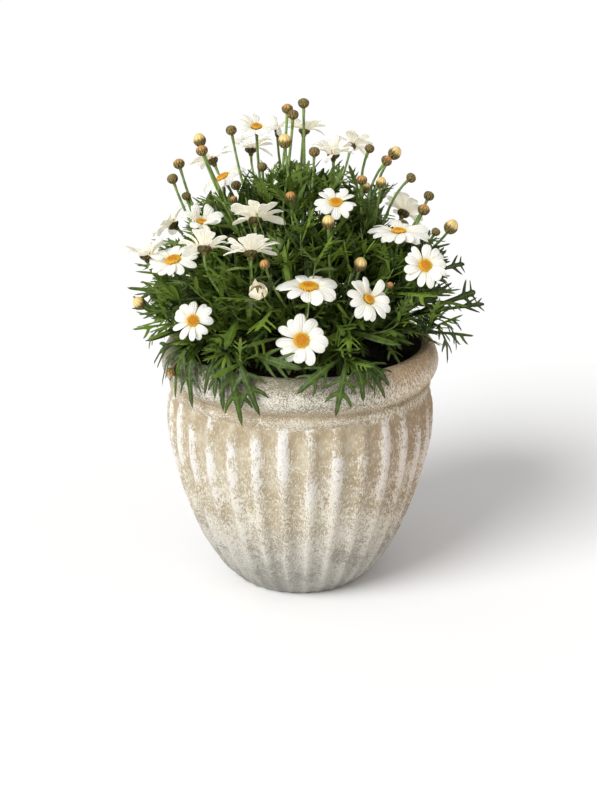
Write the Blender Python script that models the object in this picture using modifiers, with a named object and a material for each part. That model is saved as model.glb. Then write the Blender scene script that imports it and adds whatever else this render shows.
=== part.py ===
"""Potted marguerite daisy: a fluted, whitewashed pot filled with soil, with ten leafy stems.

Each stem stands in a hole of its own in the soil and carries lobed leaves, buds and the green
cups of its blooms. A bloom is a ring of white petals with a yellow disc on it. Lengths are in
metres, +Z is up, and the origin is the middle of the pot's underside. -Y is the front. Places
in the tables of stems, blooms, buds and leaves are in millimetres, angles are in degrees.
"""
import math
import random
from typing import NamedTuple

import bmesh
import bpy
import numpy as np
from mathutils import Matrix, Vector

MM = 0.001
OBJECT_NAME = "potted_marguerite_daisy"
GAP = 0.3 * MM
WELD = 0.0001

# Pot: turned around +Z, with ridges and hollows that alternate around its body
POT_STEPS = 64
CAVITY_STEPS = 32
FLUTE_COUNT = 32
FLUTE_DEPTH = 1.7 * MM
FLUTE_TURN = math.radians(4.2)
FLUTE_FADE = (0.0, 0.045, 0.168, 0.180)
POT_INSIDE = [(0.0, 0.014), (0.064, 0.014), (0.092, 0.075), (0.105, 0.150), (0.108, 0.212)]
POT_MOUTH = [(0.1125, 0.227), (0.0, 0.227)]
POT_RIM = [(0.0, 0.2255), (0.1115, 0.2255), (0.116, 0.226), (0.1225, 0.218), (0.125, 0.208), (0.1215, 0.198)]
POT_BEAD = [(0.1158, 0.1925), (0.1184, 0.1875), (0.1164, 0.182)]
POT_BODY = [(0.1192, 0.166), (0.1175, 0.130), (0.108, 0.090), (0.093, 0.048),
            (0.077, 0.018), (0.0654, 0.0055), (0.0578, 0.0), (0.0, 0.0)]

# Soil: fills the pot, a little higher in the middle
SOIL_TOP = 0.204
SOIL_CURVE = [(0.0, SOIL_TOP), (0.055, 0.2025), (0.098, 0.199)]
SOIL_EDGE = 0.197
HOLE_FLOOR = 0.160
HOLE_RADIUS = 3.5 * MM
HOLE_SIDES = 6

# Stems and stalks
TRUNK_RADIUS = 2.6 * MM
FORK_RADIUS = 2.0 * MM
STALK_SIDES = 3
STALK_RADIUS = 1.5 * MM
STALK_TIP_RADIUS = 1.3 * MM
CUP_HEIGHT = 6.0 * MM
CUP_SIDES = 6

# Blooms: petals that rise more than OPEN_RISE degrees make a cupped bloom, and a disc's profile
# is in shares of its radius
HUB_SHARE = 0.26
CUP_SHARE = 1.08
OPEN_RISE = 6.0
PETAL_THICKNESS = 0.7 * MM
PETAL_SHOULDER = 0.62
PETAL_WAVE = 1.1 * MM
PETAL_WIDTH = 0.80
PETAL_TIP = 0.45
DISC_PROFILE = [(0.0, 0.42), (0.68, 0.33), (1.0, 0.0), (0.0, 0.0)]
DISC_STEPS = 8

# Leaves: half outlines from the root to the tip, as shares of the leaf's length
LEAF_THICKNESS = 0.7 * MM
TRIDENT = [(0.0, 0.019), (0.50, 0.034), (0.80, 0.165), (0.70, 0.042), (1.0, 0.0)]
FIVE_LOBES = [(0.0, 0.019), (0.38, 0.034), (0.60, 0.19), (0.56, 0.042),
              (0.85, 0.13), (0.79, 0.032), (1.0, 0.0)]
LEAF_LENGTH = (0.052, 0.070)
LEAF_ROOTS = (0.20, 0.78)
LEAF_TURN = math.radians(137.5)
LEAF_TRIES = 1500
LONG_LEAF = 0.060
LEAF_CLEARANCE = 4.2 * MM
STALK_CLEARANCE = 2.2 * MM
BLOOM_CLEARANCE = 5.5 * MM
FOLIAGE_REACH = 0.165
FOLIAGE_RISE = 0.168
LEAF_SEED = 41


class Stem(NamedTuple):
    """A leafy stem: its foot in the soil, its fork, and how many leaves it grows by rule."""
    root: tuple
    fork: tuple
    leaves: int


class Bloom(NamedTuple):
    """A bloom: its stem, hub, facing (bearing and climb), radius, petal rise and petals."""
    stem: str
    place: tuple
    bearing: float
    climb: float
    radius: float
    rise: float
    petals: int = 10

    @property
    def hub(self):
        """Radius of the middle that the petals grow from."""
        return HUB_SHARE * self.radius * MM

    @property
    def disc(self):
        """Radius of the disc: wider than the hub on an open bloom, inside it on a cupped one."""
        return self.hub * (1.12 if self.rise < OPEN_RISE else 0.78)


class Bud(NamedTuple):
    """A bud: its stem, centre and radius, and its facing where it isn't the stalk's own."""
    stem: str
    place: tuple
    radius: float
    facing: tuple = None


STEMS = {
    "front": Stem((2, -32), (2, -56, 246), 4),
    "front_right": Stem((18, -26), (30, -52, 246), 4),
    "right_front": Stem((30, -12), (54, -28, 246), 5),
    "right": Stem((31, 7), (50, 8, 256), 5),
    "back": Stem((0, 32), (0, 56, 248), 8),
    "left": Stem((-31, 7), (-54, 8, 250), 7),
    "front_left": Stem((-20, -24), (-40, -46, 246), 5),
    "inner_front": Stem((3, -12), (4, -18, 264), 4),
    "inner_back": Stem((5, 13), (6, 24, 264), 6),
    "inner_left": Stem((-13, 3), (-22, 3, 264), 4),
}

BLOOMS = {
    "bloom_01": Bloom("front", (1, -114, 259), -88, 30, 22, 0),
    "bloom_02": Bloom("front", (7, -95, 298), -90, 80, 26.5, -3),
    "bloom_03": Bloom("front_right", (56, -97, 289), -70, 35, 21, 12),
    "bloom_04": Bloom("right_front", (103, -80, 313), -80, 35, 20, 4),
    "bloom_05": Bloom("front_left", (-89, -88, 268), -100, 30, 18.5, 0),
    "bloom_06": Bloom("inner_front", (30, -45, 358), -90, 60, 19.5, 5),
    "bloom_07": Bloom("right_front", (84, -35, 331), -80, 78, 27, -4),
    "bloom_08": Bloom("inner_front", (-38, -28, 341), 60, 76, 23, 28),
    "bloom_09": Bloom("front_left", (-41, -75, 324), 100, 68, 22, 35),
    "bloom_10": Bloom("front_left", (-80, -60, 324), 90, 78, 25, 18),
    "bloom_11": Bloom("left", (-85, -20, 336), -70, 78, 20, 30),
    "bloom_12": Bloom("left", (-134, -20, 308), 175, 80, 24, 32),
    "bloom_13": Bloom("left", (-109, -32, 305), -160, 60, 23, -4),
    "bloom_14": Bloom("left", (-117, 55, 318), 160, 25, 22, 20),
    "bloom_15": Bloom("inner_left", (-38, 22, 411), -90, 58, 22, 15),
    "bloom_16": Bloom("inner_back", (-45, 80, 383), 90, 76, 24, 28),
    "bloom_17": Bloom("inner_left", (-69, 45, 362), 170, 58, 22, -4),
    "bloom_18": Bloom("left", (-81, 82, 372), 140, 55, 22, 15),
    "bloom_19": Bloom("inner_back", (4, 62, 403), 60, 74, 22, 30),
    "bloom_20": Bloom("right", (29, 12, 390), -90, 82, 23, 35),
    "bloom_21": Bloom("inner_back", (47, 85, 385), 70, 50, 23, 15),
    "bloom_22": Bloom("inner_back", (-20, 38, 407), -90, 75, 12, 60, 9),
    "bloom_23": Bloom("right", (95, 58, 328), 40, 48, 23, 20),
    "bloom_24": Bloom("back", (20, 112, 300), 85, 45, 23, 4),
}

BUDS = [
    Bud("inner_back", (3, 28, 431), 5.0),
    Bud("inner_left", (-11, 15, 428), 5.0),
    Bud("inner_left", (-6, -5, 426), 4.8),
    Bud("inner_front", (-13, -25, 407), 5.8),
    Bud("inner_left", (-59, 0, 412), 4.8),
    Bud("inner_left", (-87, 10, 402), 5.6),
    Bud("inner_left", (-84, -8, 396), 5.2),
    Bud("left", (-107, 28, 378), 5.2),
    Bud("left", (-112, 16, 367), 5.0),
    Bud("left", (-101, 24, 350), 4.2),
    Bud("inner_left", (-33, 8, 379), 4.5),
    Bud("inner_left", (-58, 0, 352), 3.5),
    Bud("inner_front", (12, -20, 397), 4.8),
    Bud("inner_front", (-8, -50, 365), 4.8),
    Bud("front", (-29, -98, 319), 4.5),
    Bud("front", (-35, -85, 293), 6.0),
    Bud("front_right", (23, -75, 349), 5.5),
    Bud("left", (-138, -50, 273), 5.4),
    Bud("right", (61, 25, 392), 4.4),
    Bud("right", (83, 20, 389), 5.8),
    Bud("right", (75, 5, 385), 5.0),
    Bud("right", (53, -10, 371), 4.8),
    Bud("right", (70, -5, 368), 4.6),
    Bud("right", (97, 10, 369), 4.6),
    Bud("right", (114, 20, 351), 4.8),
    Bud("right", (108, 0, 343), 5.5),
    Bud("right", (132, -5, 329), 6.3),
    Bud("right", (118, -12, 326), 4.0),
    Bud("front_right", (50, -74, 313), 5.8),
    Bud("front_right", (75, -75, 295), 3.5),
    Bud("front_left", (-110, -76, 219), 4.4, (-145, -62)),
    Bud("back", (-60, 97, 345), 5.0),
    Bud("back", (62, 100, 342), 5.0),
    Bud("back", (98, 96, 308), 5.0),
    Bud("back", (8, 128, 262), 4.6),
]

# Low leafy shoots without a head: stem, end of the shoot, and the tips of its leaves
SHOOTS = [
    ("front_left", (-62, -100, 243), [(-47, -123, 186), (-89, -98, 194), (-54, -121, 200),
                                      (-13, -131, 200), (-30, -129, 222)]),
    ("front_left", (-88, -66, 242), [(-117, -70, 205), (-108, -76, 196), (-128, -42, 214)]),
    ("front_right", (39, -105, 239), [(11, -132, 212), (30, -129, 197), (24, -131, 210),
                                      (70, -114, 205), (74, -110, 218)]),
    ("right", (106, -8, 250), [(163, -10, 260), (157, 10, 266), (141, -30, 241),
                               (139, -18, 219), (129, -40, 214)]),
    ("right", (98, 22, 272), [(148, 22, 288), (136, 44, 262)]),
    ("left", (-94, -18, 246), [(-133, -30, 224), (-130, -22, 259), (-134, 4, 266)]),
    ("left", (-86, 44, 248), [(-134, 52, 246), (-118, 74, 268), (-126, 36, 212)]),
    ("back", (-36, 100, 242), [(-48, 126, 194), (-80, 104, 204), (-24, 147, 254)]),
    ("back", (62, 88, 244), [(60, 120, 198), (96, 98, 208), (98, 108, 262)]),
]


def direction(bearing, climb):
    """Unit vector at a bearing around +Z from +X and a climb above the level, in degrees."""
    turn = math.radians(bearing)
    lift = math.radians(climb)
    return Vector((math.cos(turn) * math.cos(lift), math.sin(turn) * math.cos(lift), math.sin(lift)))


def bezier(controls, t):
    """Point at t of the Bezier curve through its controls."""
    points = [Vector(point) for point in controls]
    while len(points) > 1:
        points = [first.lerp(second, t) for first, second in zip(points, points[1:])]
    return points[0]


def frame_along(axis):
    """Rotation that turns +Z into the axis."""
    return axis.to_track_quat("Z", "Y").to_matrix().to_4x4()


def material(name, colour, roughness):
    """Principled material of one colour."""
    result = bpy.data.materials.new(name)
    result.use_nodes = True
    shader = result.node_tree.nodes["Principled BSDF"]
    shader.inputs["Base Color"].default_value = (*colour, 1.0)
    shader.inputs["Roughness"].default_value = roughness
    shader.inputs["Metallic"].default_value = 0.0
    result.diffuse_color = (*colour, 1.0)
    return result


def add_object(name, mesh, collection, finish=None):
    """Object of a mesh, linked to its collection."""
    result = bpy.data.objects.new(name, mesh)
    collection.objects.link(result)
    if finish:
        result.data.materials.append(finish)
    return result


def evaluated_mesh(source):
    """Mesh of an object with its modifiers or its curve bevel worked out."""
    graph = bpy.context.evaluated_depsgraph_get()
    graph.update()
    return bpy.data.meshes.new_from_object(source.evaluated_get(graph))


def mesh_of(name, bm):
    """Mesh data of a bmesh, which is freed."""
    data = bpy.data.meshes.new(name)
    bm.to_mesh(data)
    bm.free()
    return data


def turned(name, profile, steps, collection, finish=None):
    """Solid turned around +Z from a profile of (radius, height) points."""
    bm = bmesh.new()
    verts = [bm.verts.new((radius, 0.0, height)) for radius, height in profile]
    for first, second in zip(verts, verts[1:]):
        bm.edges.new((first, second))
    result = add_object(name, mesh_of(name, bm), collection, finish)
    screw = result.modifiers.new("turn", "SCREW")
    screw.steps = steps
    screw.render_steps = steps
    screw.use_merge_vertices = True
    screw.merge_threshold = WELD
    screw.use_smooth_shade = True
    return result


def stalk_section(collection):
    """Three-cornered section that the stalks are swept with, one metre in radius."""
    data = bpy.data.curves.new("stalk_section", "CURVE")
    spline = data.splines.new("POLY")
    spline.points.add(STALK_SIDES - 1)
    spline.use_cyclic_u = True
    for index, point in enumerate(spline.points):
        angle = 2 * math.pi * index / STALK_SIDES
        point.co = (math.cos(angle), math.sin(angle), 0.0, 1.0)
    return add_object("stalk_section", data, collection)


def tube(name, points, radii, collection, section=None):
    """Mesh object of a tube with filled ends, four-sided or swept with a section."""
    data = bpy.data.curves.new(name, "CURVE")
    data.dimensions = "3D"
    data.use_fill_caps = True
    data.bevel_depth = 1.0
    data.bevel_resolution = 0
    if section:
        data.bevel_mode = "OBJECT"
        data.bevel_object = section
    spline = data.splines.new("POLY")
    spline.points.add(len(points) - 1)
    for target, point, radius in zip(spline.points, points, radii):
        target.co = (*point, 1.0)
        target.radius = radius
    curve = add_object(name + "_line", data, collection)
    mesh = evaluated_mesh(curve)
    bm = bmesh.new()
    bm.from_mesh(mesh)
    bmesh.ops.remove_doubles(bm, verts=bm.verts, dist=0.00001)
    bmesh.ops.recalc_face_normals(bm, faces=bm.faces)
    bm.to_mesh(mesh)
    bm.free()
    result = add_object(name, mesh, collection)
    result.matrix_world = curve.matrix_world
    bpy.data.objects.remove(curve)
    return result


def join(base, others, scene_collection):
    """Unite the other objects with the base in one Boolean and remove them."""
    group = bpy.data.collections.new(base.name + "_joined")
    scene_collection.children.link(group)
    for other in others:
        group.objects.link(other)
    union = base.modifiers.new("join", "BOOLEAN")
    union.operation = "UNION"
    union.operand_type = "COLLECTION"
    union.collection = group
    mesh = evaluated_mesh(base)
    base.modifiers.clear()
    base.data = mesh
    keep_outer_body(mesh)
    for other in others:
        bpy.data.objects.remove(other)
    bpy.data.collections.remove(group)


def keep_outer_body(mesh):
    """Fill the small hollows sealed between joined stalks, by removing their inner faces."""
    bm = bmesh.new()
    bm.from_mesh(mesh)
    unseen = set(bm.verts)
    bodies = []
    while unseen:
        body = [unseen.pop()]
        for vertex in body:
            linked = {edge.other_vert(vertex) for edge in vertex.link_edges} & unseen
            unseen -= linked
            body += linked
        bodies.append(body)
    bodies.sort(key=len)
    for body in bodies[:-1]:
        bmesh.ops.delete(bm, geom=body, context="VERTS")
    bm.to_mesh(mesh)
    bm.free()


def flute_share(height):
    """Depth of the flutes at a height, as a share of the full depth."""
    foot, full_from, full_to, top = FLUTE_FADE
    if height < full_from:
        return 0.35 + 0.65 * max(0.0, (height - foot) / (full_from - foot))
    return max(0.0, min(1.0, (top - height) / (top - full_to)))


def cut(target, cutter):
    """Take a cutter's shape out of an object."""
    cutter.hide_render = True
    cutter.display_type = "WIRE"
    difference = target.modifiers.new(cutter.name, "BOOLEAN")
    difference.operation = "DIFFERENCE"
    difference.object = cutter


def build_pot(collection, cutters):
    """Pot with a rolled rim, a bead below it and a fluted body, hollowed from the top."""
    profile = POT_RIM + POT_BEAD + POT_BODY
    pot = turned("pot", profile, POT_STEPS, collection, material("pot_clay", (0.62, 0.52, 0.37), 0.85))
    mesh = evaluated_mesh(pot)
    pot.modifiers.clear()
    pot.data = mesh
    for vertex in mesh.vertices:
        radius = math.hypot(vertex.co.x, vertex.co.y)
        if radius > WELD:
            angle = math.atan2(vertex.co.y, vertex.co.x)
            swell = FLUTE_DEPTH * flute_share(vertex.co.z) * math.cos(FLUTE_COUNT * angle)
            vertex.co.x *= 1.0 + swell / radius
            vertex.co.y *= 1.0 + swell / radius
    mesh.transform(Matrix.Rotation(FLUTE_TURN, 4, "Z"))
    mesh.set_sharp_from_angle(angle=math.radians(40))
    cavity = turned("cavity", list(reversed(POT_INSIDE + POT_MOUTH)), CAVITY_STEPS, cutters)
    cut(pot, cavity)


def build_soil(collection, cutters):
    """Soil that fills the pot, with a hole for each stem."""
    side = [(radius - GAP, height + GAP) for radius, height in reversed(POT_INSIDE[1:4])]
    top_radius = np.interp(SOIL_EDGE, [z for _, z in POT_INSIDE[1:]], [r for r, _ in POT_INSIDE[1:]])
    profile = SOIL_CURVE + [(top_radius - 2 * GAP, SOIL_EDGE)] + side + [(0.0, POT_INSIDE[0][1] + GAP)]
    soil = turned("soil", profile, CAVITY_STEPS, collection, material("soil", (0.03, 0.022, 0.015), 0.95))
    depth = SOIL_TOP + 0.02 - HOLE_FLOOR
    for name, stem in STEMS.items():
        bm = bmesh.new()
        bmesh.ops.create_cone(bm, cap_ends=True, segments=HOLE_SIDES, radius1=HOLE_RADIUS,
                              radius2=HOLE_RADIUS, depth=depth)
        hole = add_object("hole_" + name, mesh_of("hole", bm), cutters)
        hole.location = (stem.root[0] * MM, stem.root[1] * MM, HOLE_FLOOR + depth / 2)
        cut(soil, hole)


def petal_outline(bloom):
    """Corners of a petal ring as (radius, angle): the hub's, then each petal's four outer ones."""
    radius = bloom.radius * MM
    step = 2 * math.pi / bloom.petals
    shoulder = bloom.hub + PETAL_SHOULDER * (radius - bloom.hub)
    half_wide = PETAL_WIDTH * step / 2
    half_tip = PETAL_TIP * half_wide * shoulder / radius
    hub = [(bloom.hub, step * (index - 0.5)) for index in range(bloom.petals)]
    petals = []
    for index in range(bloom.petals):
        middle = step * index
        petals.append([(shoulder, middle - half_wide), (radius, middle - half_tip),
                       (radius, middle + half_tip), (shoulder, middle + half_wide)])
    return hub, petals


def build_petals(name, bloom, collection, finish):
    """White petal ring of a bloom, flat in the middle and rising or falling outward."""
    bm = bmesh.new()
    hub, petals = petal_outline(bloom)
    slope = math.tan(math.radians(bloom.rise))
    hub_verts = [bm.verts.new((r * math.cos(a), r * math.sin(a), 0.0)) for r, a in hub]
    bm.faces.new(hub_verts)
    for index, petal in enumerate(petals):
        wave = PETAL_WAVE * math.sin(2.4 * index + bloom.place[0])
        corners = []
        for r, a in petal:
            out = (r - bloom.hub) * math.cos(math.radians(bloom.rise))
            share = (r - bloom.hub) / (bloom.radius * MM - bloom.hub)
            height = out * slope * (1.15 - 0.3 * share) + wave * share
            reach = bloom.hub + out
            corners.append(bm.verts.new((reach * math.cos(a), reach * math.sin(a), height)))
        following = hub_verts[(index + 1) % bloom.petals]
        bm.faces.new([hub_verts[index], *corners, following])
    bmesh.ops.triangulate(bm, faces=bm.faces)
    petals_object = add_object(name, mesh_of(name, bm), collection, finish)
    shell = petals_object.modifiers.new("thickness", "SOLIDIFY")
    shell.thickness = PETAL_THICKNESS
    shell.offset = 0.0
    petals_object.matrix_world = bloom_frame(bloom)
    return petals_object


def bloom_frame(bloom):
    """Placement of a bloom: its hub's middle, with +Z along its facing."""
    place = Vector(bloom.place) * MM
    return Matrix.Translation(place) @ frame_along(direction(bloom.bearing, bloom.climb))


def build_blooms(collection):
    """Petal ring and yellow disc of each bloom."""
    white = material("petal", (0.90, 0.89, 0.80), 0.6)
    yellow = material("disc", (0.85, 0.42, 0.02), 0.75)
    lift = PETAL_THICKNESS / 2 + GAP
    for name, bloom in BLOOMS.items():
        build_petals(name + "_petals", bloom, collection, white)
        profile = [(radius * bloom.disc, height * bloom.disc) for radius, height in DISC_PROFILE]
        disc = turned(name + "_disc", profile, DISC_STEPS, collection, yellow)
        disc.matrix_world = bloom_frame(bloom) @ Matrix.Translation((0.0, 0.0, lift))


class Path(NamedTuple):
    """A trunk, stalk or shoot: its Bezier controls, end radii and number of pieces."""
    controls: list
    radii: tuple
    pieces: int

    def point(self, t):
        return bezier(self.controls, t)

    def samples(self):
        return [self.point(index / self.pieces) for index in range(self.pieces + 1)]


class Leaf(NamedTuple):
    """A leaf: the Bezier controls of its midrib, its blade's side direction and outline."""
    controls: list
    side: Vector
    outline: list

    def point(self, share, across):
        length = (self.controls[2] - self.controls[0]).length
        return bezier(self.controls, share) + self.side * (across * length)


def trunk_path(stem):
    """Trunk from the bottom of its hole straight up through the soil and out to the fork."""
    foot = Vector((stem.root[0] * MM, stem.root[1] * MM, HOLE_FLOOR + GAP))
    mouth = Vector((foot.x, foot.y, SOIL_TOP + 4 * MM))
    fork = Vector(stem.fork) * MM
    bend = Vector((foot.x + 0.2 * (fork.x - foot.x), foot.y + 0.2 * (fork.y - foot.y),
                   mouth.z + 0.55 * (fork.z - mouth.z)))
    return Path([mouth, bend, fork], (TRUNK_RADIUS, FORK_RADIUS), 2), foot


def stalk_path(trunk, end, facing, share, pieces=3):
    """Stalk from a place on the trunk to its head, arriving along the head's facing."""
    start = trunk.point(share)
    reach = (end - start).length
    outset = (trunk.controls[2] - trunk.controls[1]).normalized()
    toward = (end - start).normalized()
    first = start + (outset + toward * 1.4).normalized() * reach * 0.36
    last = end - facing * reach * 0.26
    return Path([start, first, last, end], (STALK_RADIUS, STALK_TIP_RADIUS), pieces)


def plan_heads():
    """Paths of all stalks by stem, with the place and facing of each cup and bud."""
    paths = {name: [trunk_path(stem)[0]] for name, stem in STEMS.items()}
    heads = {name: [] for name in STEMS}
    counts = {name: 0 for name in STEMS}

    def next_share(stem):
        counts[stem] += 1
        return 0.35 + 0.63 * ((counts[stem] * 0.618) % 1.0)

    drop = PETAL_THICKNESS / 2 + GAP
    for bloom in BLOOMS.values():
        facing = direction(bloom.bearing, bloom.climb)
        cup_top = Vector(bloom.place) * MM - facing * drop
        neck = cup_top - facing * (CUP_HEIGHT * 0.75)
        paths[bloom.stem].append(stalk_path(paths[bloom.stem][0], neck, facing, next_share(bloom.stem)))
        heads[bloom.stem].append(("cup", cup_top, facing, CUP_SHARE * bloom.hub))
    for bud in BUDS:
        centre = Vector(bud.place) * MM
        trunk = paths[bud.stem][0]
        start = trunk.point(0.9)
        facing = ((centre - start).normalized() + Vector((0.0, 0.0, 0.55))).normalized()
        if bud.facing:
            facing = direction(*bud.facing)
        path = stalk_path(trunk, centre - facing * (bud.radius * MM * 0.6), facing,
                          next_share(bud.stem))
        paths[bud.stem].append(path)
        heads[bud.stem].append(("bud", centre, facing, bud.radius * MM))
    return paths, heads


def set_leaf(root, tip):
    """Leaf from a shoot's end to a chosen tip, arched out and over on the way."""
    reach = max(math.hypot(tip.x, tip.y), math.hypot(root.x, root.y)) + 2 * MM
    middle = (root + tip) / 2
    level = math.hypot(middle.x, middle.y)
    control = Vector((middle.x * reach / level, middle.y * reach / level, max(root.z, tip.z) + 3 * MM))
    side = (control - root).cross(tip - root).normalized()
    outline = FIVE_LOBES if (tip - root).length > LONG_LEAF else TRIDENT
    return Leaf([root, control, tip], side, outline)


def leaf_cloud(leaf):
    """Points spread over a leaf's blade, without its first stretch."""
    points = []
    for share, across in leaf.outline[1:]:
        points += [leaf.point(share, across), leaf.point(share, -across)]
        points += [leaf.point(share, 0.0), leaf.point(share, across * 0.5), leaf.point(share, -across * 0.5)]
    points += [leaf.point(share, 0.0) for share in (0.15, 0.25, 0.35, 0.45, 0.9)]
    return np.array(points)


def bloom_cloud(bloom):
    """Points spread over a bloom's petals, disc and cup."""
    frame = bloom_frame(bloom)
    slope = math.tan(math.radians(bloom.rise))
    points = [frame @ Vector((0, 0, height * MM)) for height in (-6, -3, 0, 3)]
    for share in (0.2, 0.4, 0.6, 0.8, 1.0):
        out = share * (bloom.radius * MM - bloom.hub) * math.cos(math.radians(bloom.rise))
        for index in range(24):
            angle = math.pi * index / 12
            ring = bloom.hub + out
            points.append(frame @ Vector((ring * math.cos(angle), ring * math.sin(angle), out * slope)))
    return np.array(points)


def path_cloud(path):
    """Points along a path, 3 to 4 mm apart."""
    count = max(6, int((path.controls[-1] - path.controls[0]).length / 0.0035))
    return np.array([path.point(index / count) for index in range(count + 1)])


def clear_of(points, obstacles, gap):
    """True where no point comes within the gap of an obstacle point."""
    if len(obstacles) == 0:
        return True
    offsets = points[:, None, :] - obstacles[None, :, :]
    return bool((np.einsum("ijk,ijk->ij", offsets, offsets) > gap * gap).all())


def clear_of_pot(points):
    """True where all points lie off the soil and off the pot's wall and rim."""
    radius = np.hypot(points[:, 0], points[:, 1])
    height = points[:, 2]
    profile = sorted(POT_RIM[2:] + POT_BEAD + POT_BODY[:3], key=lambda point: point[1])
    outside = np.interp(height, [z for _, z in profile], [r for r, _ in profile])
    in_wall = (height < 0.2295) & (radius > 0.104) & (radius < outside + 2.5 * MM)
    in_soil = (height < SOIL_TOP + 4 * MM) & (radius < 0.108)
    return not (in_wall | in_soil).any()


def within_foliage(points):
    """True where all points lie under the foliage's domed outline."""
    radius = np.hypot(points[:, 0], points[:, 1])
    share = np.clip(1.0 - (radius / FOLIAGE_REACH) ** 2, 0.0, 1.0)
    top = SOIL_TOP + 0.012 + FOLIAGE_RISE * np.sqrt(share)
    return bool((points[:, 2] < top).all() and (radius < FOLIAGE_REACH).all())


def grow_leaf(draw, carrier, turn):
    """Leaf at a drawn place of a trunk, stalk or shoot, leaning away from it and arching over."""
    share = draw.uniform(*LEAF_ROOTS)
    root = carrier.point(share)
    tangent = (carrier.point(share + 0.05) - root).normalized()
    outward = Vector((root.x, root.y, 0.0)).normalized()
    away = frame_along(tangent) @ Vector((math.cos(turn), math.sin(turn), 0.0))
    length = draw.uniform(*LEAF_LENGTH)
    start = (away + tangent * 0.8 + outward * 0.25).normalized()
    end = (start + outward * 0.5 - Vector((0.0, 0.0, draw.uniform(0.1, 0.6)))).normalized()
    control = root + start * length * 0.5
    tip = control + end * length * 0.5
    side = start.cross(end).normalized()
    return Leaf([root, control, tip], side, TRIDENT)


def plan_leaves(paths):
    """Leaves of each stem: those at chosen tips first, then the drawn ones that stay clear."""
    leaves = {name: [] for name in STEMS}
    clouds = {name: [path_cloud(path) for path in paths[name]] for name in STEMS}
    blooms = np.concatenate([bloom_cloud(bloom) for bloom in BLOOMS.values()])
    shoot_paths = {name: [] for name in STEMS}
    for stem, place, tips in SHOOTS:
        end = Vector(place) * MM
        facing = Vector((end.x, end.y, 0.0)).normalized()
        shoot = stalk_path(paths[stem][0], end, facing, 0.8)
        shoot_paths[stem].append(shoot)
        clouds[stem].append(path_cloud(shoot))
        for index, tip in enumerate(tips):
            leaf = set_leaf(shoot.point(0.95 - 0.065 * index), Vector(tip) * MM)
            leaves[stem].append(leaf)
            clouds[stem].append(leaf_cloud(leaf))
    for number, (name, stem) in enumerate(STEMS.items()):
        paths[name] += shoot_paths[name]
        draw = random.Random(LEAF_SEED + number)
        others = np.concatenate([cloud for other in STEMS if other != name for cloud in clouds[other]])
        grown = []
        for attempt in range(LEAF_TRIES):
            if len(grown) == stem.leaves:
                break
            carrier = draw.choice(paths[name])
            leaf = grow_leaf(draw, carrier, attempt * LEAF_TURN)
            points = leaf_cloud(leaf)
            own = np.concatenate([np.zeros((0, 3))] + grown)
            stalks = np.concatenate([path_cloud(path) for path in paths[name]])
            if (clear_of_pot(points) and within_foliage(points)
                    and clear_of(points, others, LEAF_CLEARANCE + STALK_RADIUS)
                    and clear_of(points, blooms, BLOOM_CLEARANCE)
                    and clear_of(points, own, LEAF_CLEARANCE)
                    and clear_of(points, stalks, STALK_CLEARANCE)):
                leaves[name].append(leaf)
                grown.append(points)
        clouds[name] += grown
    return leaves


def leaf_object(name, leaf, collection):
    """Thin arched blade cut to the leaf's lobed outline."""
    bm = bmesh.new()
    right = [(share, across) for share, across in leaf.outline]
    left = [(share, -across) for share, across in reversed(leaf.outline[:-1])]
    face = bm.faces.new([bm.verts.new((share, across, 0.0)) for share, across in right + left])
    bmesh.ops.triangulate(bm, faces=[face], ngon_method="EAR_CLIP")
    for vertex in bm.verts:
        vertex.co = leaf.point(vertex.co.x, vertex.co.y)
    blade = add_object(name, mesh_of(name, bm), collection)
    shell = blade.modifiers.new("thickness", "SOLIDIFY")
    shell.thickness = LEAF_THICKNESS
    shell.offset = 0.0
    return blade


def head_object(name, kind, place, facing, radius, collection):
    """Green cup under a bloom, or a round bud."""
    bm = bmesh.new()
    if kind == "cup":
        bmesh.ops.create_cone(bm, cap_ends=True, segments=CUP_SIDES, radius1=0.35 * radius,
                              radius2=radius, depth=CUP_HEIGHT)
        bmesh.ops.translate(bm, verts=bm.verts, vec=(0.0, 0.0, -CUP_HEIGHT / 2))
    else:
        bmesh.ops.create_icosphere(bm, subdivisions=1, radius=radius)
    result = add_object(name, mesh_of(name, bm), collection)
    result.matrix_world = Matrix.Translation(place) @ frame_along(facing)
    return result


def build_stems(collection, cutters):
    """Leafy stems, each joined to one body with its stalks, cups, buds and leaves."""
    section = stalk_section(cutters)
    green = material("leaf_green", (0.07, 0.13, 0.03), 0.55)
    paths, heads = plan_heads()
    leaves = plan_leaves(paths)
    for name, stem in STEMS.items():
        trunk, foot = trunk_path(stem)
        points = [foot] + trunk.samples()
        radii = [TRUNK_RADIUS] + list(np.linspace(*trunk.radii, trunk.pieces + 1))
        base = tube("stem_" + name, points, radii, collection)
        pieces = []
        for path in paths[name][1:]:
            radii = list(np.linspace(*path.radii, path.pieces + 1))
            pieces.append(tube("stalk", path.samples(), radii, collection, section))
        pieces += [head_object("head", *head, collection) for head in heads[name]]
        pieces += [leaf_object("leaf", leaf, collection) for leaf in leaves[name]]
        for piece in pieces:
            collection.objects.unlink(piece)
        join(base, pieces, bpy.context.scene.collection)
        base.data.materials.clear()
        base.data.materials.append(green)
        base.data.set_sharp_from_angle(angle=math.radians(35))
    bpy.data.objects.remove(section)


def main():
    """Build the whole object in its own collection."""
    for old in list(bpy.data.objects):
        bpy.data.objects.remove(old)
    parts = bpy.data.collections.new(OBJECT_NAME)
    cutters = bpy.data.collections.new("cutters")
    for collection in (parts, cutters):
        bpy.context.scene.collection.children.link(collection)
    build_pot(parts, cutters)
    build_soil(parts, cutters)
    build_blooms(parts)
    build_stems(parts, cutters)


main()
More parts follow.
